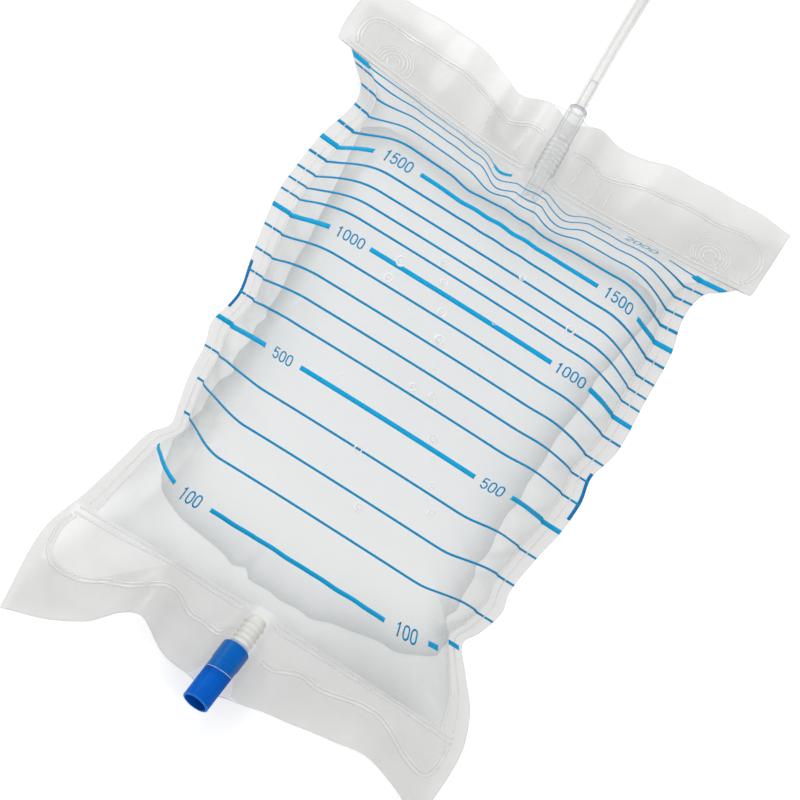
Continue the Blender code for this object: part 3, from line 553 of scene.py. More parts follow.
def painted_light_and_shade(x, reach, place):
    """Painted light and shade, as the film's density from place to place, about 1: painted shade on the
    chamber's low wall, painted light and shade on the lower left flange with a lit triangle in its pad, and
    painted light beside a crease of the top flange and over the spigot. x is across and place in plan, both
    in mm.
    """
    in_chamber = (np.abs(reach) <= 1) * (np.abs(x) < SEAM / MM)
    # Painted shade: denser film on the low wall of the chamber's right half
    low_wall = in_chamber * (1 - step(0.05, 0.30, 1 + reach)) * (0.6 * step(10, 60, x))
    # Painted light: thinner film towards the lower left flange's corner
    low_left = (reach < -1) * step(45, 80, -x)
    over_pad_edge = -0.70 * (place[..., 0] + 80) + 0.72 * (place[..., 1] + 168)
    in_pad = step(-168, -166, place[..., 1]) * step(-103, -101, place[..., 0])
    # Painted light and shade on the lower left flange: a little denser, with a lit triangle inside its pad's
    # weld
    pad = (reach < -1) * step(20, 40, -x) * (0.1 - 0.27 * step(-0.8, 0.8, over_pad_edge) * in_pad)
    # Painted light: a thinner band of the top flange, beside a crease left of the port
    crease = (reach > 1) * step(-48, -36, x) * (1 - step(-34.5, -32.5, x))
    # Painted light: thinner film over the spigot
    over_spigot = (reach < -1) * bump(x, OUTLET_SHIFT / MM, 8)
    return 1 + low_wall - 0.15 * low_left + pad - 0.3 * crease - 0.5 * over_spigot


def film_sheet(name, front, finish, node):
    """One sheet of film, with its folds. Its edge shows the film's own thickness."""
    half = SEAM * (1 - (1 - np.linspace(0, 1, INNER_COLUMNS + 1)) ** 1.2)
    flange = np.linspace(SEAM, HALF_WIDTH, FLANGE_COLUMNS + 1)[1:]
    half = np.concatenate([half, flange])
    across = np.concatenate([-half[:0:-1], half])
    even = np.linspace(-1, 1, CHAMBER_ROWS + 1)
    out = np.linspace(0, 1, FLANGE_ROWS + 1)[1:]
    reach = np.concatenate([-1 - out[::-1], even, 1 + out])
    across, reach = np.broadcast_arrays(across[None, :], reach[:, None])
    grid = film(across, reach, front) + film_way(across, reach, front) * FILM
    if not front:
        grid[..., 2] = np.maximum(grid[..., 2], 0)
    faces = grid_faces(*across.shape)
    if not front:
        faces = [tuple(reversed(face)) for face in faces]
    made = piece(name, grid.reshape(-1, 3), faces, finish)
    in_chamber = step(0, 1.5 * MM, SEAM + 0.5 * MM - np.abs(across)) * (np.abs(reach) <= 1)
    written(made, "chamber", in_chamber)
    # Painted light and shade, stored as the film's density from place to place
    written(made, "painted_light_and_shade", painted_light_and_shade(across / MM, reach, grid[..., :2] / MM))
    beside = np.abs(grid[..., 0] - spine(grid[..., 1]))
    tight = (1 - step(*TIGHT_SIDES, beside)) * step(*TIGHT_END, -grid[..., 1] - HALF_CHAMBER - COLLAR_START)
    written(made, "contact", tight * (1.0 if front else 0.0))
    wall = made.modifiers.new("film edge", "SOLIDIFY")
    wall.thickness = FILM
    wall.offset = -1
    wall.use_rim_only = True
    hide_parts(node)


def painted_patch_shade(finish):
    """Painted shade where the back sheet rests flat on the surface: a dark sheet, densest along the patch's
    own edge.
    """
    outline = smooth_route(PATCH + PATCH[:1], 1.0)[:-1]
    middle = np.array(PATCH_MIDDLE)
    inward = middle - outline
    far = np.linalg.norm(inward, axis=1, keepdims=True)
    inward = inward / far
    count = len(outline)
    at_top = step(*PATCH_TOP_FROM, outline[:, 1]) * (1 - step(*PATCH_TOP_SIDES, np.abs(outline[:, 0])))
    points, strength = [], []
    for inset in PATCH_INSETS:
        shift = inset * at_top if inset < 0 else np.full(count, float(inset))
        ring = outline + inward * np.minimum(shift[:, None], far * 0.9)
        points += [(x * MM, y * MM, FILM + 0.1 * MM) for x, y in ring]
        # Along the top side the painted shade reaches outwards too, as a soft band
        if inset < 0:
            strength.append(0.7 * at_top * (1 - inset / PATCH_INSETS[0]) ** 2)
        else:
            fading = np.exp(-inset / PATCH_FADE) * (1 - inset / PATCH_INSETS[-1])
            strength.append(fading * (1 - 0.3 * at_top))
    faces = []
    for face in ring_faces(len(PATCH_INSETS), count):
        least = min(at_top[face[0] % count], at_top[face[1] % count])
        if PATCH_INSETS[face[0] // count] >= 0 or least > 0.02:
            faces.append(face)
    made = piece("painted_patch_shade", points, faces, finish)
    written(made, "strength", np.stack(strength))


def swept(path, radius):
    """Points and faces of a round tube along a path."""
    way = (path[1] - path[0]).normalized()
    side = way.cross(Vector((0, 0, 1))).normalized()
    angles = [2 * pi * i / HOSE_SIDES for i in range(HOSE_SIDES)]
    points = []
    for i, place in enumerate(path):
        ahead = (path[min(i + 1, len(path) - 1)] - path[max(i - 1, 0)]).normalized()
        side = (side - ahead * side.dot(ahead)).normalized()
        up = side.cross(ahead)
        points += [place + (side * cos(angle) + up * sin(angle)) * radius for angle in angles]
    return points, ring_faces(len(path), HOSE_SIDES)


def smooth_route(points, spacing):
    """Evenly spaced points on the smooth curve through the route's own points."""
    route = np.array(points, dtype=float)
    ends = np.concatenate([[0], np.cumsum(np.linalg.norm(np.diff(route, axis=0), axis=1))])
    places = np.linspace(0, ends[-1], max(2, int(round(ends[-1] / spacing)) + 1))
    return np.stack([hermite(list(zip(ends, route[:, k])), places) for k in range(route.shape[1])], axis=-1)


def inlet_axis():
    """Where the inlet port's axis crosses the top weld, and its way out."""
    return Vector((INLET_SHIFT, HALF_CHAMBER, SEAM_HEIGHT)), Vector((-sin(INLET_TURN), cos(INLET_TURN), 0))


def outlet_axis():
    """Where the outlet's axis crosses the bottom weld, and its way out."""
    start = Vector((OUTLET_SHIFT, -HALF_CHAMBER, SEAM_HEIGHT * BOTTOM_WELD_HEIGHT[2][1]))
    return start, Vector((-sin(OUTLET_TURN), -cos(OUTLET_TURN), 0))


def hose_path():
    """The hose's middle line: out of the socket, down to the surface, round the coil and up to its end."""
    start, way = inlet_axis()
    mouth = start + way * INLET_LENGTH
    lying = COIL_HEIGHTS[0][1] * MM
    route = [mouth - way * (SOCKET_DEPTH - GAP), mouth]
    for aside, on, share in HOSE_ROUTE:
        route.append(Vector((mouth.x + aside, mouth.y + on, lying + (mouth.z - lying) * share)))
    path = [Vector(p) for p in smooth_route([tuple(p) for p in route], 4 * MM)]
    centre = Vector((mouth.x + COIL_FROM_MOUTH[0], mouth.y + COIL_FROM_MOUTH[1], 0))
    turns = 150
    for i in range(turns + 1):
        t = COIL_START_TURN + (COIL_END_TURN - COIL_START_TURN) * i / turns
        angle = 2 * pi * t
        radius = stepped(COIL_RADII, t) * MM
        height = stepped(COIL_HEIGHTS, t) * MM
        path.append(centre + Vector((radius * cos(angle), radius * sin(angle), height)))
    ahead = Vector((cos(CONNECTOR_TURN), sin(CONNECTOR_TURN), 0))
    aside = Vector((ahead.y, -ahead.x, 0))
    bend_centre = centre - ahead * (COIL_MIDDLE_RADIUS - END_BEND)
    rest = COIL_TOP + HOSE_RADIUS + GAP
    top = COIL_TOP + CONNECTOR_LIFT
    bend = 12
    for i in range(1, bend + 1):
        t = i / bend
        angle = pi / 2 * (1 - t)
        flat = bend_centre + aside * (END_BEND * cos(angle)) - ahead * (END_BEND * sin(angle))
        path.append(Vector((flat.x, flat.y, rest + (top - rest) * float(step(-0.1, 1, t)))))
    path.append(path[-1] + ahead * HOSE_BEYOND_BEND)
    return path


def in_socket(made, path):
    """How far each point of the hose lies in the port's socket, where its own walls hardly show."""
    places = np.array([tuple(vertex.co) for vertex in made.data.vertices])[:, 1]
    return 0.8 * (1 - step(SOCKET_DEPTH - 2 * MM, SOCKET_DEPTH, places - path[0].y))


def hose(finish):
    """The whole hose in one piece, hollow, from the port's socket to its connector."""
    path = hose_path()
    outer_points, faces = swept(path, HOSE_RADIUS)
    bore_points, bore_faces = swept(path, HOSE_BORE)
    count = len(outer_points)
    last = count - HOSE_SIDES
    faces += [tuple(count + k for k in reversed(face)) for face in bore_faces]
    for j in range(HOSE_SIDES):
        k = (j + 1) % HOSE_SIDES
        faces.append((j, count + j, count + k, k))
        faces.append((last + j, last + k, count + last + k, count + last + j))
    made = piece("inlet_hose", outer_points + bore_points, faces, finish)
    written(made, "held", in_socket(made, path))
    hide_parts("inlet_tube", "tube_coil", "tube_end")
    return path


def hose_insert(path, finish):
    """The short stiffening insert in the hose's bore, which ends in plain sight above the port."""
    within = [p for p in path if p.y < path[0].y + INSERT_LENGTH]
    points, faces = swept(within, INSERT_RADIUS)
    faces.append(tuple(reversed(range(HOSE_SIDES))))
    faces.append(tuple(range(len(points) - HOSE_SIDES, len(points))))
    made = piece("hose_insert", points, faces, finish)
    written(made, "held", in_socket(made, path))


def turned(name, outline, axis, finish, body="bag"):
    """A piece turned about an axis: outline lists its (radius, place along it) points, closed on itself."""
    start, way = axis
    side = Vector((way.y, -way.x, 0))
    angles = [2 * pi * j / TURNED_SIDES for j in range(TURNED_SIDES)]
    spokes = [side * cos(angle) + Vector((0, 0, sin(angle))) for angle in angles]
    points = [start + way * place + spoke * radius for radius, place in outline for spoke in spokes]
    return piece(name, points, ring_faces(len(outline), TURNED_SIDES, closed=True), finish, body)


def ribbed(end, count, pitch, root, rib):
    """The (radius, place, groove) points of round ribs, from their end towards the chamber."""
    per_rib = 8
    places = []
    for i in range(count * per_rib + 1):
        share = (0.5 - 0.5 * cos(2 * pi * i / per_rib)) ** 0.8
        places.append((root + (rib - root) * share, end - i * pitch / per_rib, 1 - share))
    return places


def port_piece(finish, rim):
    """The clear port with its ribs and the rounded rim of its socket, turned about its axis."""
    socket = INLET_LENGTH - SOCKET_DEPTH
    wide = HOSE_RADIUS + GAP
    mouth = INLET_LENGTH
    outline = [
        (wide, mouth - 1.5 * MM), (wide, mouth - 0.5 * MM), (wide + 0.3 * MM, mouth), (4.6 * MM, mouth),
        (4.95 * MM, mouth - 0.3 * MM), (INLET_COLLAR_RADIUS, mouth - 1.0 * MM),
    ]
    rim_rings = len(outline)
    ribs_end = INLET_RIBS_START + INLET_RIB_COUNT * INLET_RIB_PITCH
    outline += [(INLET_COLLAR_RADIUS, mouth - 8 * MM), (INLET_COLLAR_RADIUS, ribs_end + 1.2 * MM)]
    ribs = ribbed(ribs_end, INLET_RIB_COUNT, INLET_RIB_PITCH, INLET_ROOT_RADIUS, INLET_RIB_RADIUS)
    grooves = [0.0] * len(outline) + [groove for _, _, groove in ribs] + [0.0] * 5
    outline += [(radius, place) for radius, place, _ in ribs]
    outline += [
        (INLET_TAIL_RADIUS, INLET_RIBS_START - 2 * MM), (INLET_TAIL_RADIUS, -INLET_TAIL),
        (INLET_BORE_RADIUS, -INLET_TAIL), (INLET_BORE_RADIUS, socket), (wide, socket),
    ]
    made = turned("inlet_socket", outline, inlet_axis(), finish)
    up = np.tile(np.sin(2 * pi * np.arange(TURNED_SIDES) / TURNED_SIDES), len(outline))
    # Painted shade in the port's grooves, on its upper side only, which its finish reads as denser film
    written(made, "groove", np.repeat(np.array(grooves) ** 2, TURNED_SIDES) * step(-0.1, 0.5, up))
    held = np.zeros(len(outline))
    held[-5:] = (0.4, 0.7, 0.7, 0.7, 0.7)
    written(made, "held", np.maximum(np.repeat(held, TURNED_SIDES), 0.6 * (1 - step(-0.9, -0.3, up))))
    made.data.materials.append(rim)
    for polygon in made.data.polygons[:(rim_rings - 1) * TURNED_SIDES]:
        polygon.material_index = 1
    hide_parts("inlet_port")


def valve_rim(finish):
    """The valve's mouth: a thin rounded lip on the end of the sleeve."""
    end = COLLAR_START + VALVE_LENGTH
    outline = [
        (VALVE_RADIUS - 1.05 * MM, end - 0.5 * MM), (VALVE_RADIUS - 1.0 * MM, end + 0.1 * MM),
        (VALVE_RADIUS - 0.5 * MM, end + 0.2 * MM), (VALVE_RADIUS, end),
        (VALVE_RADIUS + 0.05 * MM, end - 0.6 * MM),
    ]
    made = turned("valve_rim", outline, outlet_axis(), finish, "valve")


def spigot_piece(finish):
    """The milky spigot: round ribs up to the valve's collar, a neck, and the nose with its seal's groove."""
    end = SHOULDER + NOSE_LENGTH
    groove = SHOULDER + SEAL_FROM_SHOULDER
    half = SEAL_THICKNESS / 2 + GAP
    deep = NOSE_RADIUS - SEAL_THICKNESS - GAP / 2
    outline = [
        (SPIGOT_BORE_RADIUS, end), (NOSE_RADIUS - 0.5 * MM, end), (NOSE_RADIUS, end - 1 * MM),
        (NOSE_RADIUS, groove + half), (deep, groove + half), (deep, groove - half),
        (NOSE_RADIUS, groove - half), (NOSE_RADIUS, SHOULDER), (NECK_RADIUS, SHOULDER),
        (NECK_RADIUS, SPIGOT_SEEN_RIBS_END + 0.4 * MM),
    ]
    ribs = ribbed(
        SPIGOT_SEEN_RIBS_END, SPIGOT_RIB_COUNT, SPIGOT_RIB_PITCH, SPIGOT_ROOT_RADIUS, SPIGOT_RIB_RADIUS
    )
    outline += [(radius, place) for radius, place, _ in ribs]
    last, root = SPIGOT_SEEN_FROM, SPIGOT_ROOT_RADIUS
    outline += [
        (root, last + 1.2 * MM), (root - 0.3 * MM, last + 0.4 * MM), (root - 0.9 * MM, last),
        (SPIGOT_BORE_RADIUS, last),
    ]
    made = turned("ribbed_spigot", outline, outlet_axis(), finish)
    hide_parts("outlet_spigot")


def pulled(across, along):
    """How far the film's print is drawn towards the chamber beside the inlet port, in metres."""
    x, y = across / MM, along / MM
    left = bump(x, hermite(LEFT_PULL_MIDDLE, y), 14) * hermite(LEFT_PULL, y)
    right = bump(x, 22.5, 16) * hermite(RIGHT_PULL, y)
    middle = bump(x, 3, 16) * hermite(MIDDLE_PULL, y)
    ripple = 0.35 * np.sin(x * 0.42 + 0.09 * y) * bump(x, 2, 40) * step(70, 95, y)
    return (ripple - np.maximum(np.maximum(left, right), middle)) * MM


def drawn_up(across, along):
    """How far the print rises towards the sheet's side edges where the bag's lower corners are gathered."""
    share = np.clip((np.abs(across) / SEAM - 0.6) / 0.4, 0, 1.0) ** 2.4
    left, right = hermite(LEFT_LIFT, along / MM), hermite(RIGHT_LIFT, along / MM)
    return np.where(across < 0, left, right) * share * MM


def print_on_front(across, along, beside=0.0):
    """Points of the print. beside is a distance along the bag from the line that is printed."""
    aside = PRINT_SHIFT * (1 - (np.abs(across) / HALF_WIDTH) ** 4)
    place = along + pulled(across, along) + drawn_up(across, along) + beside
    return on_front(across + aside, place / HALF_CHAMBER, INK_LIFT)


def inked(name, points, faces, finish):
    """A print on the front sheet, with its own thickness."""
    made = piece(name, points, faces, finish)
    wall = made.modifiers.new("ink thickness", "SOLIDIFY")
    wall.thickness = INK
    wall.offset = 1
    return made


def scale_lines():
    """Every line of the printed scale: if it is thick, its place along, half its width and its stretches."""
    lines = []
    for place, label in NUMBERED:
        half_width = THICK_LINE / 2 * SLIMMER.get(label, 1)
        lines.append((True, place * MM, half_width, STRETCHES[label]))
        if label == "2000":
            lines.append((False, place * MM, THIN_LINE / 3, LAST_THIN))
        if label == "100":
            lines.append((True, (place + LOW_RIGHT_BIT_LIFT) * MM, half_width, LOW_RIGHT_BIT))
    for place in THIN_PLACES:
        left = ((-97, 97.5),) if place < LOW_LEFT_ENDS else ((-103, -97.8), (-97.3, 97.5))
        half_width = THIN_LINE / 2 * (CLOSE_SHARE if place > CLOSE_FROM else 1)
        lines.append((False, place * MM, half_width, (*left, (98, 103))))
    return lines


def printed_lines(thin_finish, thick_finish):
    """The scale's thin lines and its thick ones."""
    bands = {True: ([], []), False: ([], [])}
    for thick, along, half_width, stretches in scale_lines():
        points, faces = bands[thick]
        for low, high in stretches:
            columns = max(3, int(high - low) + 1)
            across = np.linspace(low, high, columns) * MM
            line = np.full(columns, along)
            rows = [print_on_front(across, line, side * half_width) for side in (-1, 0, 1)]
            faces += grid_faces(3, columns, len(points))
            points += listed(rows)
    inked("scale_lines", *bands[False], thin_finish)
    inked("scale_bars", *bands[True], thick_finish)


def arc(middle_x, middle_y, half_wide, half_high, start, end, count=14):
    """Places along part of an oval, from one angle to another in degrees."""
    angles = np.radians(np.linspace(start, end, count))
    return [(middle_x + half_wide * cos(a), middle_y + half_high * sin(a)) for a in angles]


# Each digit's strokes, in heights of the digit, from its middle
DIGITS = {
    "0": (arc(0, 0.17, 0.225, 0.265, 0, 180) + arc(0, -0.17, 0.225, 0.265, 180, 360) + [(0.225, 0.17)],),
    "1": (((-0.15, 0.25), (-0.03, 0.33), (0.03, 0.47), (0.03, 0.2), (0.03, -0.5)),),
    "2": (
        arc(0, 0.2, 0.23, 0.235, 170, -35)
        + [(0.02, -0.12), (-0.17, -0.28), (-0.23, -0.435), (0.26, -0.435)],
    ),
    "5": (
        ((0.22, 0.435), (-0.15, 0.435), (-0.2, -0.02)),
        [(-0.2, -0.02)] + arc(0, -0.16, 0.235, 0.28, 130, -160),
    ),
}


def stroke(places, half_width):
    """Both edges of a stroke along a line of places."""
    line = np.array(places, dtype=float)
    ahead = unit(np.gradient(line, axis=0))
    aside = np.stack([-ahead[:, 1], ahead[:, 0]], axis=-1) * half_width
    return line - aside, line + aside


def numerals(finish, faint):
    """The scale's numerals. The last one lies on the steep film by the top weld, where it looks faint."""
    points, faces = [], []
    for place, label in NUMBERED:
        along = place * MM
        faint_from = len(faces)
        squashed = LAST_DIGITS_SQUASHED if label == "2000" else 1.0
        for middle in NUMERALS[label]:
            for i, digit in enumerate(label):
                shift = (i - (len(label) - 1) / 2) * DIGIT_ADVANCE
                for line in DIGITS[digit]:
                    edges = np.stack(stroke(line, DIGIT_STROKE / 2))
                    across = middle * MM + (edges[..., 0] + shift) * DIGIT_HEIGHT
                    up = along + edges[..., 1] * DIGIT_HEIGHT * squashed
                    placed = print_on_front(across, np.full_like(up, along), up - along)
                    faces += [tuple(reversed(face)) for face in grid_faces(2, len(line), len(points))]
                    points += listed(placed)
    made = inked("scale_numerals", points, faces, finish)
    made.data.materials.append(faint)
    for polygon in made.data.polygons[faint_from:]:
        polygon.material_index = 1


def edge_bars(finish):
    """The dark blue bars on the sheet's side edges, beside the 500 to 1000 stretch."""
    points, faces = [], []
    reach = np.linspace(*EDGE_BAR_ENDS, 24) * MM / HALF_CHAMBER
    for side in (-1, 1):
        rows = [on_front(side * (HALF_WIDTH - inset * MM), reach, INK_LIFT) for inset in EDGE_BAR_INSETS]
        if side < 0:
            rows.reverse()
        faces += grid_faces(2, len(reach), len(points))
        points += listed(rows)
    inked("edge_bars", points, faces, finish)


def bead(places, width, height):
    """A raised weld line on the front sheet along (across, reach) places: a low ridge with a closed foot."""
    across, reach = places[:, 0], places[:, 1]
    foot = on_front(across, reach, 0)
    way = film_way(across, reach, True)
    aside = unit(np.cross(way, unit(np.gradient(foot, axis=0))))
    angles = [pi * i / 4 for i in range(5)]
    rows = [foot + aside * (width / 2 * cos(a)) + way * (height * sin(a) - 0.03 * MM) for a in angles]
    rows.append(foot - way * 0.08 * MM)
    return np.stack(rows, axis=1)


# The pads' weld lines on the end flanges, and the round welds, as places in plan in mm
TOP_LEFT_PAD = (
    (-107, 145), (-112, 153), (-112, 162), (-107, 168), (-97, 169.5), (-86, 168), (-74, 167), (-61, 165),
    (-49, 163), (-42, 161.5), (-34, 159.5), (-25, 158.7), (-14, 160), (-8, 159),
)
TOP_RIGHT_PAD = (
    (9, 159), (21.6, 161), (27, 159), (43, 163), (59, 165.3), (67, 168), (86, 171), (104.5, 175), (111, 174),
    (116, 170.5), (118.3, 164.6), (117.7, 157), (113, 146),
)
BOTTOM_LEFT_PAD = (
    (-98, -136), (-102.5, -147), (-102.5, -157), (-100, -164), (-94, -168), (-86, -168), (-78, -166),
    (-70, -162), (-59.5, -158), (-51, -153), (-44, -149), (-37, -149), (-32.5, -151.5), (-27.4, -153.5),
    (-20.2, -154), (-11, -156),
)
BOTTOM_RIGHT_PAD = (
    (12, -156), (19.5, -156), (24, -153.4), (32, -150), (39.5, -150.3), (45, -150.4), (53.4, -149),
    (63, -147), (71, -147.2), (80, -150.3), (91, -154.8), (100, -157.8), (105.5, -157.5), (108.5, -153),
    (108.5, -141), (105, -134),
)
RING_MIDDLES = ((-89.7, 149.3), (93.2, 152.4))
RING_RADII = (10.4, 8.9, 7.4, 5.4, 3.3)
PORT_LINES = ((-34, 0.1, 0.42), (-16, 0.18, 0.5), (15, 0.2, 0.48), (26, 0.15, 0.45), (33, 0.12, 0.42))

# The raised lines' widths and heights. Each pad has two, with its inset in mm before the width
PAD_RIDGES = ((0.0, 1.6 * MM), (1.9, 1.2 * MM))
PAD_RIDGE_HEIGHT = 0.28 * MM
END_RIDGE = (1.3 * MM, 0.3 * MM)
SIDE_RIDGE = (0.6 * MM, 0.08 * MM)
RING_RIDGE = (0.9 * MM, 0.25 * MM)
VALVE_RIDGE = (0.28 * MM, 0.06 * MM)
PORT_RIDGE = (0.8 * MM, 0.2 * MM)


def outside_weld(places):
    """The longest run of places that lies clear of the end weld's own lines."""
    clear = np.abs(places[:, 1]) > 1.1
    if clear.all() or not clear.any():
        return places
    if np.allclose(places[0], places[-1]):
        turn = int(np.argmin(clear))
        places, clear = np.roll(places[:-1], -turn, axis=0), np.roll(clear[:-1], -turn)
    return places[clear]


def paired(across, reach):
    """Places of film from two lists, or from a list and a value that stays the same."""
    return np.stack(np.broadcast_arrays(across, reach), axis=-1)


def weld_routes():
    """Each raised line as (places, width, height): the welds of the pads, the ends, the sides, the rings and
    the inlet port, and the film's edge over the valve.
    """
    routes = []
    for pad in (TOP_LEFT_PAD, TOP_RIGHT_PAD, BOTTOM_LEFT_PAD, BOTTOM_RIGHT_PAD):
        plan = smooth_route(pad, 1.5)
        ahead = unit(np.gradient(plan, axis=0))
        aside = np.stack([ahead[:, 1], -ahead[:, 0]], axis=-1)
        inward = aside if pad[0][1] > 0 else -aside
        for inset, width in PAD_RIDGES:
            places = np.array([flange_place(x * MM, y * MM) for x, y in plan + inward * inset])
            routes.append((outside_weld(places), width, PAD_RIDGE_HEIGHT))
    for sign in (-1, 1):
        for low, high in ((-99, -8), (8, 99)):
            across = np.arange(low, high + 0.1, 1.5) * MM
            for out in (0.03, 0.09):
                routes.append((paired(across, sign * (1 + out)), *END_RIDGE))
    for side in (-1, 1):
        reach = np.arange(-0.99, 0.991, 0.012)
        for across in (SEAM + 0.8 * MM, SEAM + 5.0 * MM):
            routes.append((paired(side * across, reach), *SIDE_RIDGE))
    for x, y in RING_MIDDLES:
        for radius in RING_RADII:
            turns = np.linspace(0, 2 * pi, max(16, int(radius * 5)))
            ring = [flange_place((x + radius * cos(t)) * MM, (y + radius * sin(t)) * MM) for t in turns]
            routes.append((outside_weld(np.array(ring)), *RING_RIDGE))
    routes.append((paired(np.linspace(-6.6, 6.6, 14) * MM, -1.992), *VALVE_RIDGE))
    for across, low, high in PORT_LINES:
        routes.append((paired(across * MM, 1 + np.linspace(low, high, 12)), *PORT_RIDGE))
    return routes


def weld_lines(finish):
    """Every raised line, as one piece."""
    points, faces = [], []
    for places, width, height in weld_routes():
        rows = bead(places, width, height)
        count, ring = rows.shape[:2]
        first = len(points)
        points += listed(rows)
        faces += [(a, d, c, b) for a, b, c, d in ring_faces(count, ring, first)]
        faces.append(tuple(range(first, first + ring)))
        faces.append(tuple(reversed(range(len(points) - ring, len(points)))))
    made = piece("weld_lines", points, faces, finish)


# Drops on the film, as places across and along in mm, with their radii. Shares are of the radius
DROPS = (
    (-16, 59, 1.9), (-11, 49, 1.7), (-4, 35, 2.0), (2, 22, 2.2), (3.5, -6, 1.6), (14, -5, 1.7),
    (25, -23.5, 2.0), (30, -32, 1.5), (37, -44, 1.6), (44, -56, 1.8), (-3, -48.5, 1.8), (12, -73.5, 2.0),
    (-34, 47, 2.2), (-35, 36, 1.9), (19.5, 74, 1.4), (53, 64, 2.0), (26.5, 21, 1.0), (-16, 40, 0.8),
    (8, 8, 0.9), (33, -12, 0.8), (48, 30, 0.7), (-28, -20, 0.8), (20, 45, 0.7),
)
DROP_LIFT = 0.1 * MM
DROP_STRETCH = 1.12
DROP_RISE = 0.25
# Each drop's painted glint, a flat white ring round its rim: its half width and unevenness, as shares of the
# radius, and its lift
DROP_RIM = 0.2
DROP_RIM_UNEVEN = 0.08
DROP_RIM_LIFT = 0.16 * MM


def drops(finish, rim):
    """Flattened drops that cling to the front film, each with a painted glint: a flat white ring round its
    rim.
    """
    points, faces, glint_faces = [], [], []
    around, levels, sides = 20, 5, 4
    turns = [2 * pi * j / around for j in range(around)]
    for x, y, radius in DROPS:
        across, reach = np.array(x * MM), np.array(y * MM / HALF_CHAMBER)
        middle = Vector(on_front(across, reach, DROP_LIFT))
        out = Vector(film_way(across, reach, True))
        side = out.cross(Vector((0, 1, 0))).normalized()
        up = out.cross(side)
        flats = [(side * cos(turn) + up * sin(turn) * DROP_STRETCH) * radius * MM for turn in turns]
        first = len(points)
        for k in range(levels):
            tilt = pi / 2 * k / levels
            rise = out * (radius * MM * DROP_RISE * sin(tilt))
            points += [middle + flat * cos(tilt) + rise for flat in flats]
        tip = len(points)
        points += [middle + out * (radius * MM * DROP_RISE), middle - out * 0.05 * MM]
        faces += ring_faces(levels, around, first)
        top = (levels - 1) * around
        for j in range(around):
            a, b = first + j, first + (j + 1) % around
            faces += [(a, tip + 1, b), (a + top, b + top, tip)]
        # The painted glint: a flat white ring round the drop's rim, a little off the film
        ring = len(points)
        for turn, flat in zip(turns, flats):
            half = DROP_RIM + DROP_RIM_UNEVEN * sin(turn * 2 + x)
            corners = ((1 + half, DROP_RIM_LIFT), (1 - half, DROP_RIM_LIFT), (1 - half, 0), (1 + half, 0))
            points += [middle + flat * share + out * lift for share, lift in corners]
        glint_faces += [len(faces) + n for n in range(around * sides)]
        faces += ring_faces(around, sides, ring, closed=True)
    made = piece("drops", points, faces, finish)
    made.data.materials.append(rim)
    for index in glint_faces:
        made.data.polygons[index].material_index = 1


class Shader:
    """A small helper that adds nodes to a material and joins them up."""

    def __init__(self, name):
        self.material = bpy.data.materials.new(name)
        self.material.use_nodes = True
        self.tree = self.material.node_tree
        self.main = self.tree.nodes["Principled BSDF"]

    def add(self, kind, **inputs):
        """A node with some of its inputs set."""
        node = self.tree.nodes.new(kind)
        for key, value in inputs.items():
            node.inputs[key.title()].default_value = value
        return node

    def maths(self, operation, a, b=0.0):
        """One sum on two values, each a number or another node's result."""
        node = self.tree.nodes.new("ShaderNodeMath")
        node.operation = operation
        for socket, value in zip(node.inputs, (a, b)):
            if hasattr(value, "links"):
                self.tree.links.new(value, socket)
            else:
                socket.default_value = value
        return node.outputs[0]

    def noise(self, scale, detail=3.0):
        """A noise that is fixed to the piece."""
        place = self.tree.nodes.new("ShaderNodeTexCoord")
        node = self.add("ShaderNodeTexNoise", scale=scale, detail=detail)
        self.tree.links.new(place.outputs["Object"], node.inputs["Vector"])
        return node.outputs[0]

    def stored(self, name):
        """The value that a piece stores for each of its points."""
        node = self.tree.nodes.new("ShaderNodeAttribute")
        node.attribute_name = name
        return node.outputs["Fac"]

    def ramp(self, value, low, high, start=0.3, end=0.7):
        """A colour that goes from one to another as a value goes from start to end."""
        node = self.tree.nodes.new("ShaderNodeValToRGB")
        node.color_ramp.elements[0].position = start
        node.color_ramp.elements[0].color = (*low, 1)
        node.color_ramp.elements[1].position = end
        node.color_ramp.elements[1].color = (*high, 1)
        self.tree.links.new(value, node.inputs[0])
        return node.outputs[0]

    def mixed(self, share, low, high):
        """A colour that goes from another socket's colour to a plain one as a share goes from 0 to 1."""
        node = self.tree.nodes.new("ShaderNodeMix")
        node.data_type = "RGBA"
        self.tree.links.new(share, node.inputs[0])
        self.tree.links.new(low, node.inputs[6])
        node.inputs[7].default_value = (*high, 1)
        return node.outputs[2]

    def spread(self, value, low, high):
        """A value from 0 to 1, spread between low and high."""
        return self.maths("ADD", self.maths("MULTIPLY", value, high - low), low)

    def surface(self, scale, low, high, smooth, rough):
        """A colour and a roughness that one noise makes uneven. Gives the noise."""
        uneven = self.noise(scale, 0.0)
        self.link(self.ramp(uneven, low, high), "Base Color")
        self.link(self.spread(uneven, smooth, rough), "Roughness")
        return uneven

    def link(self, value, name):
        """Drives one of the surface's inputs."""
        self.tree.links.new(value, self.main.inputs[name])

    def bumped(self, value, strength, distance):
        """A fine grain on the surface."""
        node = self.add("ShaderNodeBump", strength=strength, distance=distance)
        self.tree.links.new(value, node.inputs["Height"])
        self.tree.links.new(node.outputs[0], self.main.inputs["Normal"])

    def edge_on(self, power):
        """How edge-on the surface is seen, from 0 to 1."""
        node = self.tree.nodes.new("ShaderNodeLayerWeight")
        node.inputs["Blend"].default_value = 0.5
        return self.maths("POWER", node.outputs["Facing"], power)


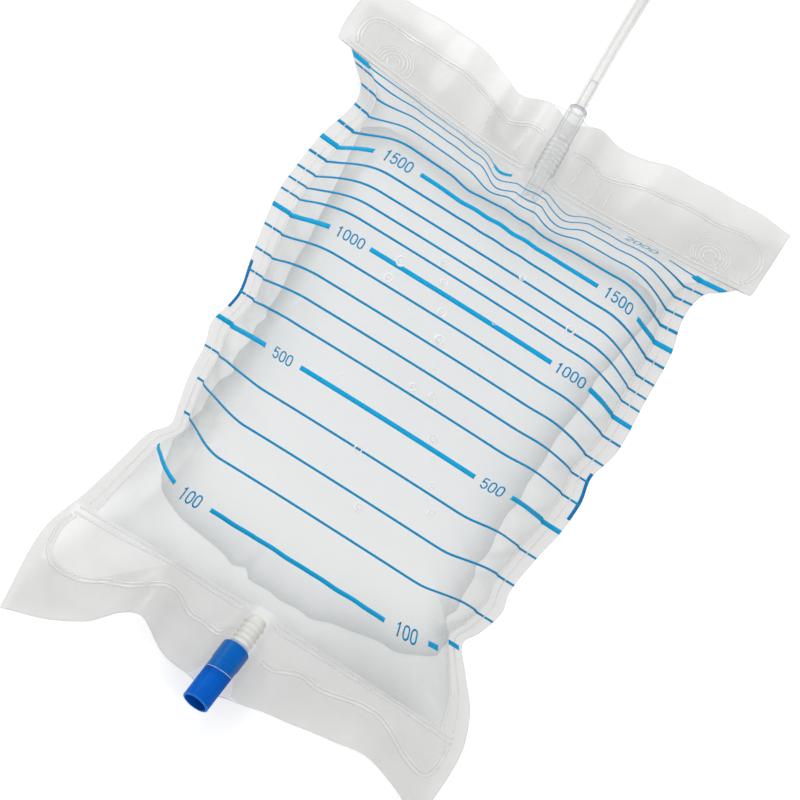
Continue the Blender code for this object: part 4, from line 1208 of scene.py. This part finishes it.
def film_finish(name, flange, chamber, flange_cloud, chamber_cloud, edge):
    """Clear film: milkier where it is welded, cooler round the chamber, denser where it is seen edge-on, and
    with painted light and shade in its density.
    """
    shader = Shader(name)
    inside = shader.stored("chamber")
    tight = shader.stored("contact")
    fine = shader.noise(240.0, 0.0)
    plain = shader.ramp(inside, flange, chamber, 0.0, 1.0)
    collar_blue = (0.0, 0.30, 0.52)
    shader.link(shader.mixed(tight, plain, collar_blue), "Base Color")
    shader.link(shader.spread(fine, 0.22, 0.36), "Roughness")
    shader.main.inputs["Specular IOR Level"].default_value = 0.3
    dense = shader.maths("MULTIPLY", shader.edge_on(2.2), edge)
    even = shader.spread(inside, flange_cloud, chamber_cloud)
    # The film's density is scaled by the painted light and shade that each sheet stores
    cloud = shader.maths("MULTIPLY", even, shader.stored("painted_light_and_shade"))
    total = shader.maths("MINIMUM", shader.maths("ADD", dense, cloud), 1.0)
    clear = shader.spread(tight, 1.0, 0.9)
    shader.link(shader.maths("MULTIPLY", total, clear), "Alpha")
    return shader.material


def patch_shade_finish(name, colour, density):
    """Painted shade along the edge of the resting patch: its density is stored with the piece."""
    shader = Shader(name)
    shader.surface(240.0, [c * 0.97 for c in colour], colour, 0.4, 0.5)
    shader.link(shader.maths("MULTIPLY", shader.stored("strength"), density), "Alpha")
    return shader.material


def ridge_finish(name, colour, density):
    """Film pressed into a raised line: paler than the film beside it."""
    shader = Shader(name)
    uneven = shader.surface(120.0, [c * 0.97 for c in colour], colour, 0.15, 0.3)
    shader.link(shader.spread(uneven, density - 0.15, density + 0.15), "Alpha")
    return shader.material


def vinyl_finish(name, colour, dark, cloud, edge, power=1.8):
    """Clear vinyl with thick walls: darker and denser towards its outline, and denser with painted shade in
    the port's grooves.
    """
    shader = Shader(name)
    fine = shader.noise(180.0, 0.0)
    across = shader.edge_on(power)
    shader.link(shader.ramp(across, colour, dark, 0.0, 1.0), "Base Color")
    shader.link(shader.spread(fine, 0.08, 0.18), "Roughness")
    total = shader.maths("ADD", shader.maths("MULTIPLY", across, edge), cloud)
    # Painted shade: denser film in the port's grooves
    total = shader.maths("ADD", total, shader.maths("MULTIPLY", shader.stored("groove"), 0.22))
    total = shader.maths("MULTIPLY", total, shader.maths("SUBTRACT", 1.0, shader.stored("held")))
    shader.link(shader.maths("MINIMUM", total, 1.0), "Alpha")
    return shader.material


def moulded_finish(name, low, high, roughness, gloss=0.5):
    """Opaque moulded plastic: a little uneven in colour and gloss, with a fine moulded grain."""
    shader = Shader(name)
    shader.main.inputs["Specular IOR Level"].default_value = gloss
    shader.link(shader.ramp(shader.noise(90.0), low, high), "Base Color")
    shader.link(shader.spread(shader.noise(400.0), roughness - 0.05, roughness + 0.08), "Roughness")
    shader.bumped(shader.noise(1500.0), 0.08, 0.0003)
    return shader.material


def ink_finish(name, low, high):
    """Ink, with the faint weave of its screen."""
    shader = Shader(name)
    shader.surface(700.0, low, high, 0.5, 0.65)
    shader.main.inputs["Specular IOR Level"].default_value = 0.15
    return shader.material


def repaint(name, finish):
    """Gives a node of the frame its finish."""
    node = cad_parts[name]
    node.data.materials.clear()
    node.data.materials.append(finish)


def seen_rays(tree, low, high):
    """A strength of high for rays that show the background, and low for those that light the object."""
    rays = tree.nodes.new("ShaderNodeLightPath")
    last = rays.outputs["Is Camera Ray"]
    for name in ("Is Transmission Ray", "Is Glossy Ray"):
        either = tree.nodes.new("ShaderNodeMath")
        either.operation = "MAXIMUM"
        tree.links.new(last, either.inputs[0])
        tree.links.new(rays.outputs[name], either.inputs[1])
        last = either.outputs[0]
    level = tree.nodes.new("ShaderNodeMapRange")
    level.inputs["To Min"].default_value = low
    level.inputs["To Max"].default_value = high
    tree.links.new(last, level.inputs["Value"])
    return level.outputs[0]


def studio():
    """A white floor and sky, one soft key from the upper left of the photograph and a weaker fill."""
    world = bpy.data.worlds.new("studio")
    bpy.context.scene.world = world
    world.use_nodes = True
    back = world.node_tree.nodes["Background"]
    back.inputs["Color"].default_value = (1, 1, 1, 1)
    world.node_tree.links.new(seen_rays(world.node_tree, 0.6, 1.0), back.inputs["Strength"])

    bpy.ops.mesh.primitive_plane_add(size=8, location=(0, 0, -0.0002))
    floor = bpy.context.object
    floor.name = "floor"
    finish = bpy.data.materials.new("floor_white")
    finish.use_nodes = True
    shader = finish.node_tree.nodes["Principled BSDF"]
    shader.inputs["Base Color"].default_value = (0.82, 0.82, 0.82, 1)
    shader.inputs["Roughness"].default_value = 0.9
    shader.inputs["Emission Color"].default_value = (1, 1, 1, 1)
    finish.node_tree.links.new(seen_rays(finish.node_tree, 0.0, 0.45), shader.inputs["Emission Strength"])
    floor.data.materials.append(finish)

    for name, place, size, power in (
        ("key", (-0.9, 0.8, 1.1), 0.5, 12.0), ("fill", (1.0, -0.7, 1.4), 1.0, 6.0),
    ):
        data = bpy.data.lights.new(name, "AREA")
        data.shape = "SQUARE"
        data.size = size
        data.energy = power
        lamp = new_object(name, data)
        lamp.location = place
        lamp.rotation_euler = (Vector((0, 0, 0.02)) - Vector(place)).to_track_quat("-Z", "Y").to_euler()


def main():
    """Sets the stage, builds every piece and gives each its finish."""
    bpy.context.scene.view_settings.view_transform = "Standard"
    bpy.context.scene.cycles.transparent_max_bounces = 24
    camera()
    studio()
    front = film_finish("clear_film_front", (0.40, 0.40, 0.38), (0.32, 0.355, 0.35), 0.25, 0.155, 0.40)
    back = film_finish("clear_film_back", (0.38, 0.38, 0.36), (0.30, 0.335, 0.33), 0.25, 0.155, 0.50)
    # Painted shade for the resting patch
    resting = patch_shade_finish("patch_shade_paint", (0.30, 0.34, 0.35), 0.30)
    ridge = ridge_finish("weld_ridge", (0.97, 0.97, 0.96), 0.5)
    clear = vinyl_finish("clear_vinyl", (0.70, 0.71, 0.68), (0.46, 0.49, 0.48), 0.20, 0.40)
    port = vinyl_finish("clear_port", (0.68, 0.71, 0.72), (0.34, 0.40, 0.44), 0.13, 0.55)
    rim = vinyl_finish("port_rim", (0.35, 0.40, 0.44), (0.22, 0.27, 0.32), 0.45, 0.5)
    filled = vinyl_finish("hose_insert", (0.72, 0.73, 0.71), (0.45, 0.47, 0.48), 0.06, 0.35)
    flap = vinyl_finish("flap_film", (0.75, 0.78, 0.79), (0.60, 0.65, 0.67), 0.01, 0.06)
    water = vinyl_finish("drop_water", (0.80, 0.84, 0.86), (0.33, 0.40, 0.45), 0.0, 0.45, 1.3)
    # Painted glint for the drops' rim rings, plain white
    bright = ridge_finish("drop_rim_glint", (1.0, 1.0, 1.0), 0.85)
    milky = moulded_finish("milky_plastic", (0.90, 0.91, 0.86), (0.95, 0.95, 0.90), 0.35)
    blue = moulded_finish("blue_plastic", (0.0, 0.095, 0.50), (0.0, 0.115, 0.57), 0.45, 0.06)
    pale_blue = moulded_finish("blue_rim", (0.0, 0.17, 0.60), (0.0, 0.20, 0.66), 0.4, 0.15)
    seal = moulded_finish("seal_rubber", (0.50, 0.50, 0.48), (0.56, 0.56, 0.54), 0.6)
    cap = moulded_finish("cap_plastic", (0.70, 0.73, 0.76), (0.76, 0.79, 0.81), 0.3)
    thin_ink = ink_finish("scale_ink", (0.0, 0.235, 0.49), (0.0, 0.275, 0.55))
    thick_ink = ink_finish("bar_ink", (0.0, 0.33, 0.65), (0.0, 0.38, 0.72))
    faint_ink = ink_finish("faint_ink", (0.12, 0.36, 0.56), (0.16, 0.42, 0.62))
    dark_ink = ink_finish("edge_ink", (0.0, 0.15, 0.44), (0.0, 0.19, 0.50))
    path = hose(clear)
    hose_insert(path, filled)
    port_piece(port, rim)
    spigot_piece(milky)
    valve_rim(pale_blue)
    film_sheet("front_film", True, front, "front_sheet")
    film_sheet("back_film", False, back, "back_sheet")
    painted_patch_shade(resting)
    printed_lines(thin_ink, thick_ink)
    numerals(thin_ink, faint_ink)
    edge_bars(dark_ink)
    weld_lines(ridge)
    drops(water, bright)
    for name, finish in (
        ("non_return_valve", flap), ("outlet_seal", seal),
        ("valve_sleeve", blue), ("tube_connector", clear), ("connector_cap", cap),
    ):
        repaint(name, finish)


main()
